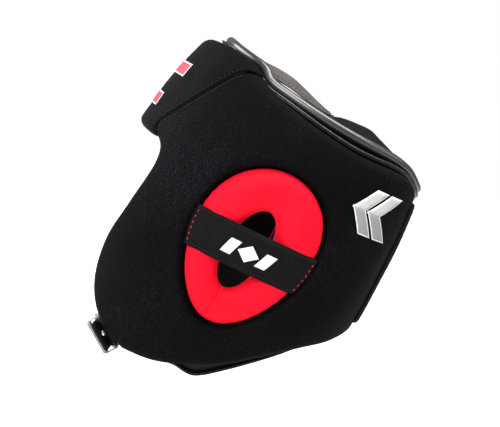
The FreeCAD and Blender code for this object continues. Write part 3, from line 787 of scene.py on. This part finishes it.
def puff(obj, voxel, cap):
    """Blows a padded piece up as cloth, with its skin held to within cap millimetres of its first shape."""
    scene = bpy.context.scene
    remesh = obj.modifiers.new("remesh", "REMESH")
    remesh.mode = "VOXEL"
    remesh.voxel_size = voxel * MM
    apply_modifiers(obj)
    first = coordinates(obj)
    cloth = obj.modifiers.new("cloth", "CLOTH")
    cloth.settings.use_pressure = True
    cloth.settings.uniform_pressure_force = 4.0
    cloth.settings.quality = 6
    cloth.settings.effector_weights.gravity = 0.0
    scene.frame_start, scene.frame_end = 1, PUFF_FRAMES
    cloth.point_cache.frame_start, cloth.point_cache.frame_end = 1, PUFF_FRAMES
    for step in range(1, PUFF_FRAMES + 1):
        scene.frame_set(step)
    apply_modifiers(obj)
    move = coordinates(obj) - first
    far = np.linalg.norm(move, axis=1, keepdims=True)
    limit = cap * MM
    move *= np.where(far > limit, limit / np.maximum(far, 1e-9), 1.0)
    set_coordinates(obj, first + move)
    scene.frame_set(1)
    smooth = obj.modifiers.new("smooth", "SUBSURF")
    smooth.levels = smooth.render_levels = 1
    apply_modifiers(obj)


def apply_modifiers(obj):
    bpy.context.view_layer.update()
    seen = obj.evaluated_get(bpy.context.evaluated_depsgraph_get())
    mesh = bpy.data.meshes.new_from_object(seen)
    obj.modifiers.clear()
    obj.data = mesh
    for poly in mesh.polygons:
        poly.use_smooth = True


def coordinates(obj):
    flat = np.empty(len(obj.data.vertices) * 3)
    obj.data.vertices.foreach_get("co", flat)
    return flat.reshape(-1, 3)


def set_coordinates(obj, points):
    obj.data.vertices.foreach_set("co", np.asarray(points, float).ravel())
    obj.data.update()


def crease(obj, points, width, depth):
    """Presses a sewn groove towards the head along a line of side-view points."""
    place = coordinates(obj)
    line = np.array(points)
    best = to_segments(place[:, 1:] / MM, line[:-1], line[1:])[0].min(1)
    normal = np.empty(place.size)
    obj.data.vertices.foreach_get("normal", normal)
    facing = normal[::3].clip(0, 1)
    place[:, 0] -= depth * np.exp(-(best / width) ** 2) * facing * MM
    set_coordinates(obj, place)


# ---- Ear rings ----
def ring_relief(u, z, gap):
    """The elastic band presses the ring in, evenly along its middle and less and less beyond."""
    return 1.9 * np.exp(-((np.abs(z - STRAP_Z) - 6.0).clip(0, None) / 8.5) ** 2)


ring = panel("ear_ring", RED, loop_of(egg(1.2, 1.6), 14.0, 6.5), (0.6, SHELL),
             [loop_of(ear_hole(0.9, 1.5), 11.0, 8.5)], 2.2, ring_relief, 2.0, 5)
puff(ring, 2.2, 1.6)
crease(ring, RING_SEAM, 0.9, 2.4)
both_sides(ring, "red_fabric", "ear_ring_cover", "ear_ring_foam")


# ---- Lining, back pad and rim ----
def lining_outline():
    return join((unrolled(LINING_TOP, 2.5, LINING_MID)[::-1], 3.0, 3.0),
                (beside(unrolled(SEAM[1:7]), -0.3)[::-1], 0.6, 0.6),
                (unrolled(CHEEK[1:])[::-1] + np.array([1.6, 0.0]), 3.0, 3.0),
                (unrolled(LINING_JAW, 2.5, LINING_MID)[::-1], 2.0, 2.0),
                (unrolled(LINING_CORNER, 2.5, LINING_MID)[::-1], 2.0, 2.0),
                (unrolled(LINING_BOTTOM, 2.5, LINING_MID)[::-1], 2.0, 2.0),
                (rear_edge(-49.0, 86.0, REAR_X), 2.0, 2.0))


def lining_relief(u, z, gap):
    return 1.2 * np.exp(-(gap / 9.0) ** 2) + ripple(26.0, 0.6, 5.5)(u, z)


lining = panel("side_lining", LINING, lining_outline(), (LINING_OUT, LINING_IN),
               [loop_of(ear_hole(4.6), 2.0, 2.0)], 5.0, lining_relief)
both_sides(lining, "vinyl", "side_lining_skin", "side_lining_foam")


def brow_lining_outline():
    bottom = brow_bottom() - np.array([0.0, 2.0])
    top = curve(np.vstack([[FRONT_U, 132.5], unrolled(BROW_LINING_TOP, 6.0, LINING_MID)]), 2.5)
    seam = beside(unrolled(SEAM[1:7]), 0.3)
    return mirror_outline(*join((bottom, 2.5, 2.5), (seam, 0.6, 0.6), (top[::-1], 3.0, 3.0)))


brow_lining = panel("forehead_lining", LINING, brow_lining_outline(), (LINING_OUT, LINING_IN), (), 5.0,
                    lining_relief)
show(brow_lining, "shell", "vinyl", "forehead_lining_skin", "forehead_lining_foam")


def back_pad_outline():
    """A rounded rectangle across the back opening."""
    left = rear_edge(-36.0, 84.0, 23.0)
    right = np.stack([2 * BACK_U - left[:, 0], left[:, 1]], 1)[::-1]
    low = resample(np.array([right[-1], [BACK_U, -39.0], left[0]]), 2.5)
    high = resample(np.array([left[-1], [BACK_U, 86.0], right[0]]), 2.5)
    return join((left, 9.0, 6.0), (high, 7.0, 6.0), (right, 9.0, 6.0), (low, 7.0, 6.0))


back_pad = panel("back_pad", NEOPRENE, back_pad_outline(), (6.0, LINING_IN), (), 3.2, None, 5.0, 4)
puff(back_pad, 3.6, 1.2)
show(back_pad, "shell", "neoprene", "back_pad_skin", "back_pad_foam")


def ring_round(left_points, front, back, depth):
    """A closed line round the top of the guard, from its left half in the side view."""
    y, z = np.array(left_points).T
    deep = depth * (1 - 0.78 * ((y - 45.0) / 58.0).clip(0, 1) ** 1.5)
    behind = BACK_U - np.array([24.0, 0.0])
    fall = back + np.array([3.4, 0.0])
    half = np.vstack([surface(FRONT_U, front, depth), surface(unroll(y, z, deep), z, deep),
                      surface(behind, fall, depth * np.array([0.26, 0.14]))])
    other = half[1:-1][::-1] * np.array([-1.0, 1.0, 1.0])
    return curve(np.vstack([half, other]), 3.0, closed=True)


rim_line = ring_round(RIM, 133.0, 91.5, 16.8)
rim_radius = 3.9 - 1.1 * ((rim_line[:, 1] - 60.0) / 40.0).clip(0, 1)
under = [(y, z - 1.2) for y, z in PIPING]
for name, material, line, radius, sides in (
        ("rim", RIM_VINYL, rim_line, rim_radius, 16),
        ("piping", PIPING_TRIM, ring_round(PIPING, 130.5, 87.0, 11.5), 0.8, 8),
        ("rim_binding", VINYL, ring_round(under, 129.0, 86.0, 14.5), 2.3, 10)):
    show(tube(name, material, line, radius, closed=True, up=(0.0, 0.0, 1.0), sides=sides), "shell", "vinyl")

lower = np.vstack([unrolled(line, 2.5, 17.6) for line in (LINING_BOTTOM, LINING_CORNER, LINING_JAW[:2])])
edge = tube("lining_binding", LINING, surface(lower[:, 0], lower[:, 1] + 0.4, 17.6), 1.5, sides=8)
both_sides(edge, "vinyl")


# ---- Ear straps ----
STRAP_TUCK, STRAP_THICK = 3.4, 1.9                   # the band ends this far beyond the ring's edge


def strap_place(t, w):
    """The side-view point t along the band and w up it. t is RING_HALF_WIDTH at the band's rear end."""
    z = STRAP_Z + w
    lean = np.arcsin(((z - EAR_Z) / RING_HALF_HEIGHT).clip(-1, 1))
    half = (RING_HALF_WIDTH + STRAP_TUCK) * np.cos(lean) * (1 + RING_EGG * np.sin(lean))
    return EAR_Y + RING_LEAN * (z - EAR_Z) + half * t / RING_HALF_WIDTH, z


def strap_sink(t):
    """The band is taut over the ring and dips at its ends, where it is tucked in."""
    share = np.abs(t) / RING_HALF_WIDTH
    dip = ((share - 0.86) / 0.14).clip(0, 1)
    return -0.7 * np.cos(share * math.pi / 2) ** 0.5 + 4.6 * dip ** 2.2


def strap(t, w, depth):
    y, z = strap_place(t, w)
    waist = 0.35 * np.sin(t * 0.33) * np.exp(-((np.abs(w) - STRAP_HALF) / 3.0) ** 2)
    return surface(unroll(y, z), z, strap_sink(t) + depth + waist)


corners = box_shape(-RING_HALF_WIDTH, RING_HALF_WIDTH, -STRAP_HALF, STRAP_HALF)
band = sheet("ear_strap", ELASTIC, resample(np.array(corners + corners[:1]), 1.8)[:-1], (0.9, 0.9),
             (0.0, STRAP_THICK), 2.2, 0.5, strap)
both_sides(band, "elastic", "ear_strap")
rows = [row_on(strap, np.arange(-46.0, 46.1, 1.0), offset) for offset in (-13.6, 13.6)]
both_sides(stitches("ear_strap_stitches", THREAD, rows, 1.5, 1.1, 0.36), "elastic")
rows = [row_on(strap, end, np.arange(-15.0, 15.1, 1.0)) for end in (-44.6, 44.6)]
both_sides(stitches("ear_strap_tacks", RED_THREAD, rows, 2.4, 2.2, 0.4), "red_fabric")


# ---- Printed marks ----
PRINT_THICK = 0.35


def grown(corners, amount):
    """A convex outline made larger by amount on every side."""
    p = np.array(corners, float)
    if signed_area(p) < 0:
        p = p[::-1]
    out = []
    for before, here, after in zip(np.roll(p, 1, 0), p, np.roll(p, -1, 0)):
        first, second = here - before, after - here
        first, second = first / np.linalg.norm(first), second / np.linalg.norm(second)
        normal = np.array([first[1] + second[1], -first[0] - second[0]])
        out.append(here + normal * amount / (1 + first @ second))
    return np.array(out)


def marks(name, material, shapes, place, lift, spacing=1.6):
    """Thin printed shapes, joined as one piece. lift is the depth of their face."""
    verts, faces = [], []
    for shape in shapes:
        depths = (lift, lift + PRINT_THICK)
        piece = sheet("mark", material, polygon(shape), (0.25, 0.15), depths, spacing, 0.05, place)
        base = len(verts)
        verts += [tuple(v.co / MM) for v in piece.data.vertices]
        faces += [tuple(base + i for i in poly.vertices) for poly in piece.data.polygons]
        bpy.data.objects.remove(piece)
    return make(name, verts, faces, material)


lozenge = [(-7.5, -1.5), (0.8, -8.5), (9.1, -1.5), (0.8, 5.5)]
shapes = [lozenge, box_shape(-17.0, -9.0, -7.7, 4.7, 2.0), box_shape(10.6, 18.6, -7.7, 4.7, 2.0)]
both_sides(marks("ear_strap_mark", WHITE, shapes, strap, -0.3), "white_print",
           "ear_strap_mark")


def on_face(relief, gap):
    """Puts printed shapes on the outer face of a panel, gap millimetres in from its edge."""
    def place(u, z, depth):
        return surface(u, z, FACE + relief(u, z, gap) + depth)
    return place


def chevron(foot, half):
    """Half of a chevron band, below or above the middle of the mark."""
    tip, width, middle, reach = foot - 12.0, 8.6, 61.0, 17.5
    points = [(tip, middle), (tip + width, middle), (foot + width, middle + half * reach),
              (foot, middle + half * reach)]
    return [(float(unroll(y, z)), z) for y, z in points]


on_side, on_brow = on_face(side_relief, 60.0), on_face(brow_relief, 40.0)
upper, lower = [[chevron(foot, half) for foot in (69.5, 82.0)] for half in (1, -1)]
edges = [grown(shape, 0.9) for shape in upper + lower]
both_sides(marks("side_mark_edge", WHITE, edges, on_side, -0.15), "white_print")
both_sides(marks("side_mark", SILVER, upper, on_side, -0.3), "silver_print", "side_mark")
# The lower chevrons use the darkened silver print, which is painted shade.
both_sides(marks("side_mark_lower_painted_shade", SILVER_PAINTED_SHADE, lower, on_side, -0.3), "silver_print")


def brow_bar(half, z_low, z_high):
    u = unroll_front(half, (z_low + z_high) / 2) - FRONT_U
    return box_shape(FRONT_U - u, FRONT_U + u, z_low, z_high)


diamond = [(FRONT_U, 75.0), (FRONT_U + 14.0, 82.5), (FRONT_U, 90.0), (FRONT_U - 14.0, 82.5)]
shapes = [brow_bar(43.0, 92.5, 102.0), brow_bar(35.0, 62.5, 72.0), diamond]
edges = [grown(shape, 1.2) for shape in shapes]
show(marks("forehead_mark_edge", WHITE, edges, on_brow, -0.15, 2.5), "shell", "white_print")
show(marks("forehead_mark", RED_PRINT, shapes, on_brow, -0.35, 2.5), "shell", "red_print", "forehead_mark")


# ---- Crown flaps ----
class Path:
    """A smooth line in a plane: the point at any distance along it, and the direction out of it."""

    def __init__(self, points):
        self.points = curve(points, 0.8)
        steps = np.linalg.norm(np.diff(self.points, axis=0), axis=1)
        self.at = np.concatenate([[0], np.cumsum(steps)])
        self.length = self.at[-1]
        self.along = frames(self.points)

    def __call__(self, t, out):
        """The two coordinates of the point t along, out millimetres to the left of the line."""
        place = [np.interp(t, self.at, self.points[:, i]) for i in (0, 1)]
        along = [np.interp(t, self.at, self.along[:, i]) for i in (0, 1)]
        size = np.hypot(*along)
        return place[0] - along[1] / size * out, place[1] + along[0] / size * out


def crown_place(path, crown):
    """The flap lies along a path in the side view and sags at its sides by crown, given along the path."""
    def place(t, w, depth):
        y, z = path(t, -depth)
        drop = np.interp(t / path.length, np.linspace(0, 1, len(crown)), crown)
        return np.stack([np.broadcast_to(w, y.shape), y, z - drop * (np.asarray(w) / FLAP_HALF) ** 2], -1)
    return place


def flap_outline(length, half, corner, spacing=2.0):
    """An outline from t = 0 to t = length, with round corners at its far end."""
    return rounded([(0.0, -half, 0.0, 0), (length - corner, corner - half, corner, -1),
                    (length - corner, half - corner, corner, 0), (0.0, half, 0.0, 0)], spacing)


def edge_rows(place, length, half, inset, ends=(True, True)):
    """Stitch rows inset from the sides of a flap, and from its start and its end where wanted."""
    t = np.arange(inset, length - inset, 1.2)
    w = np.arange(-half + inset, half - inset + 0.1, 1.2)
    lines = [(t, half - inset), (t, inset - half)]
    if ends[0]:
        lines.append((inset, w))
    if ends[1]:
        lines.append((length - inset, w))
    return [row_on(place, a, b) for a, b in lines]


FLAP_HALF, FLAP_THICK = 27.0, 2.2
FRONT_FLAP = [(-84.0, 134.2), (-76.0, 132.6), (-66.0, 131.0), (-55.0, 130.6), (-42.5, 130.4), (-27.5, 128.6),
              (-16.6, 125.4), (-6.7, 122.0), (2.0, 119.2), (13.0, 116.2)]
REAR_FLAP = [(93.0, 99.5), (82.0, 105.6), (68.0, 111.0), (58.0, 114.6), (48.0, 118.1), (37.0, 118.2),
             (23.0, 117.0), (12.0, 114.0), (2.0, 111.6), (-6.0, 111.4)]
front_path, rear_path = Path(FRONT_FLAP), Path(REAR_FLAP[::-1])
front_crown = crown_place(front_path, [2.0, 3.0, 6.0, 7.5, 7.0, 5.5, 3.0, 0.8])
rear_crown = crown_place(rear_path, [0.6, 1.5, 5.0, 8.0, 8.0, 5.0, 1.5])


def crown_flap(name, path, place, material, root, flip):
    """A flap and its stitch rows, handed to bend with root. flip puts its sewn end at the path's end."""
    outline = flap_outline(path.length, FLAP_HALF, 7.0)
    if flip:
        outline = np.stack([path.length - outline[:, 0], outline[:, 1]], 1)[::-1]
    flap = sheet(name, material, outline, (0.9, 0.9), (0.0, FLAP_THICK), 2.6, 0.8, place)
    rows = edge_rows(place, path.length, FLAP_HALF, 2.6, (flip, not flip))
    thread = stitches(name + "_stitches", THREAD, rows, 2.2, 1.2, 0.3)
    bend([flap, thread], root)
    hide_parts(name)


def bend(pieces, root):
    """Bakes each piece's placement into its mesh. root is not used."""
    for obj in pieces:
        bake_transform(obj)


# The front flap wears the lightened copy of the flap fabric, which is painted light.
crown_flap("crown_front_flap", front_path, front_crown, FLAP_PAINTED_LIGHT,
           ((0.0, -0.082, 0.132), (0.0, -0.066, 0.130)), False)
crown_flap("crown_rear_flap", rear_path, rear_crown, FLAP, ((0.0, 0.094, 0.099), (0.0, 0.080, 0.106)), True)


def tape_strip(name, body, span, half, depths, edge, spacing, place):
    """Hook or loop tape over a span of a flap, between two depths below the flap's outer face."""
    kind, material = ("hook_tape", HOOK) if "hook" in name else ("loop_tape", LOOP)
    shape = polygon(box_shape(*span, -half, half), spacing[0])
    show(sheet(name, material, shape, (edge, edge), depths, spacing[1], 0.3, place), body, kind, name)


tape_strip("crown_hook_tape", "crown_front_flap", (front_path.length - 19.0, front_path.length - 2.5), 22.0,
           (2.15, 3.15), 0.5, (2.0, 2.5), front_crown)
tape_strip("crown_loop_tape", "crown_rear_flap", (2.5, 22.0), 22.0, (-0.95, 0.05), 0.5, (2.0, 2.5),
           rear_crown)


# ---- Rear closure flap ----
REAR_ROOT, REAR_LENGTH, REAR_MIDDLE, REAR_HALF, REAR_THICK = 34.0, 88.0, 26.0, 54.0, 2.3


def back_y(x, z):
    """How far back the head form lies at x, for a piece that spans the opening without dipping."""
    return surface(unroll_back(np.maximum(np.abs(x), REAR_X), z), z)[..., 1]


def ease(t):
    """From 0 to 1, slow at both ends."""
    t = t.clip(0, 1)
    return t * t * (3 - 2 * t)


def rear_place(t, w, depth):
    """t runs from the sewn root round the back, w up from the middle. It steps out over the tape's end."""
    t, w = np.broadcast_arrays(np.asarray(t, float), np.asarray(w, float))
    x, z = REAR_ROOT - t, REAR_MIDDLE + w
    press = 0.9 * ((np.abs(w) - REAR_HALF + 8.0) / 8.0).clip(0, 1) ** 2
    stand = 1.4 + 1.4 * ease(t / 12.0) + 1.5 * ease((t - 55.0) / 9.0) - press
    waves = 0.35 * np.sin(w / 11.0) * np.sin(t / 17.0)
    return np.stack([x, back_y(x, z) + stand + waves - depth, z], -1)


rear = sheet("rear_flap", NEOPRENE, flap_outline(REAR_LENGTH, REAR_HALF, 14.0, 2.6), (1.2, 1.2),
             (0.0, REAR_THICK), 4.0, 0.9, rear_place)
rows = edge_rows(rear_place, REAR_LENGTH, REAR_HALF, 3.4)
rear_thread = stitches("rear_flap_stitches", THREAD, rows, 2.4, 1.4, 0.3)
bend([rear, rear_thread], ((0.0345, 0.1030, 0.026), (0.0245, 0.1065, 0.026)))
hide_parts("rear_flap")
for name, body, depth in (("rear_hook_tape", "rear_flap", 2.25), ("rear_loop_tape", "shell", 3.2)):
    tape_strip(name, body, (64.5, 83.5), 45.0, (depth, depth + 0.9), 0.4, (2.2, 3.2), rear_place)

# ---- Chin strap and buckle ----
JAW_POINT, CHIN_DROP, CHIN_ACROSS = (-70.5, -116.2), (-0.566, -0.824), (0.824, -0.566)
BAR_X, BAR_N, SLOPE, WEB_HALF, WEB_THICK = 37.0, 6.2, math.radians(16.0), 12.5, 1.8
ANCHOR_END, LOOP_BEND, EYELET_HOLE = (47.7, 3.75), 2.45, 2.0


def chin(x, n, w):
    """x across the chin, n away from the jaw's edge, w across the webbing."""
    x, n, w = np.broadcast_arrays(x, n, w)
    y = JAW_POINT[0] + n * CHIN_DROP[0] + w * CHIN_ACROSS[0]
    return np.stack([x, y, JAW_POINT[1] + n * CHIN_DROP[1] + w * CHIN_ACROSS[1]], -1)


def buckle_place(s, m):
    """x and n of a point s from the fixed bar towards the roller and m out of the buckle's plane."""
    return (BAR_X - s * math.cos(SLOPE) + m * math.sin(SLOPE),
            BAR_N + s * math.sin(SLOPE) + m * math.cos(SLOPE))


def web_place(path):
    def place(t, w, depth):
        x, n = path(t, WEB_THICK / 2 - depth)
        return chin(x, n, w)
    return place


def nearest_on(path, point):
    """How far along the path lies nearest to a point."""
    return float(path.at[np.linalg.norm(path.points - np.array(point), axis=1).argmin()])


def webbing(name, path, holes=(), tip=2.0, stitched=True):
    """A length of webbing along a path, and the stitches beside its edges."""
    cut = [loop_of(hole, 0.4, 0.4) for hole in holes]
    outline = flap_outline(path.length, WEB_HALF, tip, 1.6)
    piece = sheet(name, WEBBING, outline, (0.85, 0.85), (0.0, WEB_THICK), 1.9, 0.8, web_place(path), cut)
    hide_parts(name)
    if not stitched:
        return [piece]
    rows = edge_rows(web_place(path), path.length, WEB_HALF, 2.4, (False, False))
    return [piece, stitches(name + "_stitches", THREAD, rows, 2.0, 1.1, 0.3)]


def prong_slot(path, start, end, half):
    """A slot in the webbing between the places nearest to two points."""
    a, b = sorted((nearest_on(path, start), nearest_on(path, end)))
    return polygon(box_shape(a, b, -half, half), 1.2)


def circle(t, radius, count):
    turns = [2 * math.pi * k / count for k in range(count)]
    return np.array([(t + radius * math.cos(a), radius * math.sin(a)) for a in turns])


def chin_root(x_shell, n_shell, x_strap, n_strap):
    """Where the strap starts to bend at the shell, and where it has turned with the strap."""
    return tuple(chin(x_shell, n_shell, 0.0) * MM), tuple(chin(x_strap, n_strap, 0.0) * MM)


for side_name, mirror in (("left", 1.0), ("right", -1.0)):
    points = [(63.0, 0.0), (59.0, 0.1), (55.0, 1.0), (51.5, 2.6), ANCHOR_END]
    for obj in webbing(side_name + "_chin_anchor", Path([(x * mirror, n) for x, n in points])):
        show(obj, "shell", "webbing")

turns = [k * math.pi / 6 for k in range(3, -4, -1)]
around = [buckle_place(LOOP_BEND * math.cos(turn), LOOP_BEND * math.sin(turn)) for turn in turns]
loop_path = Path([ANCHOR_END, (45.0, 4.4), buckle_place(-5.0, 1.2)] + around
                 + [buckle_place(-4.4, -1.0), buckle_place(-6.4, -1.0)])
slot = prong_slot(loop_path, buckle_place(-2.6, 2.3), buckle_place(-2.6, -2.0), 2.2)
loop_pieces = webbing("chin_strap_loop", loop_path, [slot], stitched=False)
bend(loop_pieces, chin_root(48.5, 3.7, 43.0, 4.4))

tongue_path = Path([(-ANCHOR_END[0], ANCHOR_END[1]), (-36.0, 6.3), (-20.0, 8.0), (-2.0, 8.3),
                    buckle_place(20.0, -4.3), buckle_place(8.0, 1.1), buckle_place(0.0, 5.0), (46.0, 10.6),
                    (56.0, 9.4), (66.0, 8.6)])
eyelets = {x: float(tongue_path.at[np.abs(tongue_path.points[:, 0] - x).argmin()]) for x in (-6.0, -20.0)}
slot = prong_slot(tongue_path, buckle_place(10.6, 0.2), buckle_place(0.4, 4.8), 1.9)
holes = [slot] + [circle(t, EYELET_HOLE, 14) for t in eyelets.values()]
tongue_pieces = webbing("chin_strap_tongue", tongue_path, holes, tip=7.0)
bend(tongue_pieces, chin_root(-48.5, 3.7, -34.0, 6.6))
for x, t in eyelets.items():
    edge = circle(t, EYELET_HOLE + 0.3, 20)
    wire = web_place(tongue_path)(edge[:, 0], edge[:, 1], -0.1)
    eyelet = tube("chin_eyelet_" + str(int(-x)), STEEL, wire, 0.5, closed=True, up=(0.0, *CHIN_DROP), sides=8)
    show(eyelet, "chin_strap", "steel")


KEEPER_X, KEEPER_WIDE = 45.8, 3.2                    # its outer face, and its size along the strap


def keeper_outline(low, high, half, corner):
    """A round-cornered outline in (w, n): n from low to high and w to half on both sides."""
    w, n_low, n_high = half - corner, low + corner, high - corner
    return rounded([(w, n_low, corner, -1), (w, n_high, corner, 0), (-w, n_high, corner, 1),
                    (-w, n_low, corner, 2)], 0.8)


def keeper_place(w, n, depth):
    return chin(KEEPER_X - depth, n, w)


window = loop_of(keeper_outline(2.4, 12.2, 14.2, 0.9), 0.4, 0.35)
keeper = sheet("chin_strap_keeper", STEEL, keeper_outline(1.6, 15.8, 15.2, 2.4), (0.7, 0.6),
               (0.0, KEEPER_WIDE), 1.2, 0.6, keeper_place, [window])
show(keeper, "chin_strap", "steel", "chin_strap_keeper")

for node in ("chin_buckle_frame", "chin_buckle_roller", "chin_buckle_prong"):
    for place_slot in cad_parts[node].material_slots:
        place_slot.material = STEEL


# ---- Floor, light and camera ----
def camera():
    lift, roll, distance = math.radians(5.5), math.radians(26.0), 1.10
    target = Vector((0.0, -0.0115, 0.0125))
    forward = Vector((-math.cos(lift), 0.0, -math.sin(lift)))
    level, upright = Vector((0.0, 1.0, 0.0)), Vector((-math.sin(lift), 0.0, math.cos(lift)))
    right = level * math.cos(roll) + upright * math.sin(roll)
    up = upright * math.cos(roll) - level * math.sin(roll)
    data = bpy.data.cameras.new("camera")
    data.lens = 95.4
    obj = bpy.data.objects.new("camera", data)
    turned = Matrix((right, up, -forward)).transposed().to_4x4()
    obj.matrix_world = Matrix.Translation(target - forward * distance) @ turned
    bpy.context.scene.collection.objects.link(obj)
    bpy.context.scene.camera = obj


def area_light(name, place, aim, size, power):
    data = bpy.data.lights.new(name, "AREA")
    data.shape = "RECTANGLE"
    data.size, data.size_y = size
    data.energy = power
    obj = bpy.data.objects.new(name, data)
    obj.location = place
    obj.rotation_euler = (Vector(aim) - Vector(place)).to_track_quat("-Z", "Y").to_euler()
    bpy.context.scene.collection.objects.link(obj)


def lit(tree, shown, other):
    """White to the camera, and only other bright to everything that light bounces off."""
    path = tree.nodes.new("ShaderNodeLightPath")
    mix = tree.nodes.new("ShaderNodeMapRange")
    tree.links.new(path.outputs["Is Camera Ray"], mix.inputs["Value"])
    mix.inputs["To Min"].default_value = other
    mix.inputs["To Max"].default_value = shown
    return mix.outputs["Result"]


def studio():
    floor_z, segments = -0.150, 64
    verts = [(0.0, 0.0, floor_z)] + [(x, y, floor_z) for x, y in circle(0.0, 40.0, segments)]
    faces = [(0, 1 + k, 1 + (k + 1) % segments) for k in range(segments)]
    n = Nodes("floor")
    n.set(Base_Color=n.ramp(n.noise(0.6), (0.0, grey(0.80)), (1.0, grey(0.84))), Roughness=0.9,
          Emission_Color=(1.0, 1.0, 1.0, 1.0), Emission_Strength=lit(n.tree, 0.80, 0.10))
    make("floor", verts, faces, n.material, scale=1.0)
    world = bpy.data.worlds.new("world")
    world.use_nodes = True
    sky = world.node_tree.nodes["Background"]
    sky.inputs["Color"].default_value = (1.0, 1.0, 1.0, 1.0)
    world.node_tree.links.new(lit(world.node_tree, 1.0, 0.28), sky.inputs["Strength"])
    bpy.context.scene.world = world
    area_light("key", (0.95, -0.35, 0.55), (0.0, 0.0, 0.02), (0.6, 0.6), 9.0)
    area_light("top", (0.15, 0.05, 1.10), (0.0, 0.0, 0.08), (0.9, 0.7), 14.0)
    area_light("back", (0.35, 0.85, 0.70), (0.0, 0.02, 0.04), (0.7, 0.5), 2.0)
    area_light("front", (-0.10, -1.05, 0.45), (0.0, 0.0, 0.05), (0.7, 0.7), 10.0)
    bpy.context.scene.view_settings.view_transform = "Standard"


studio()
camera()
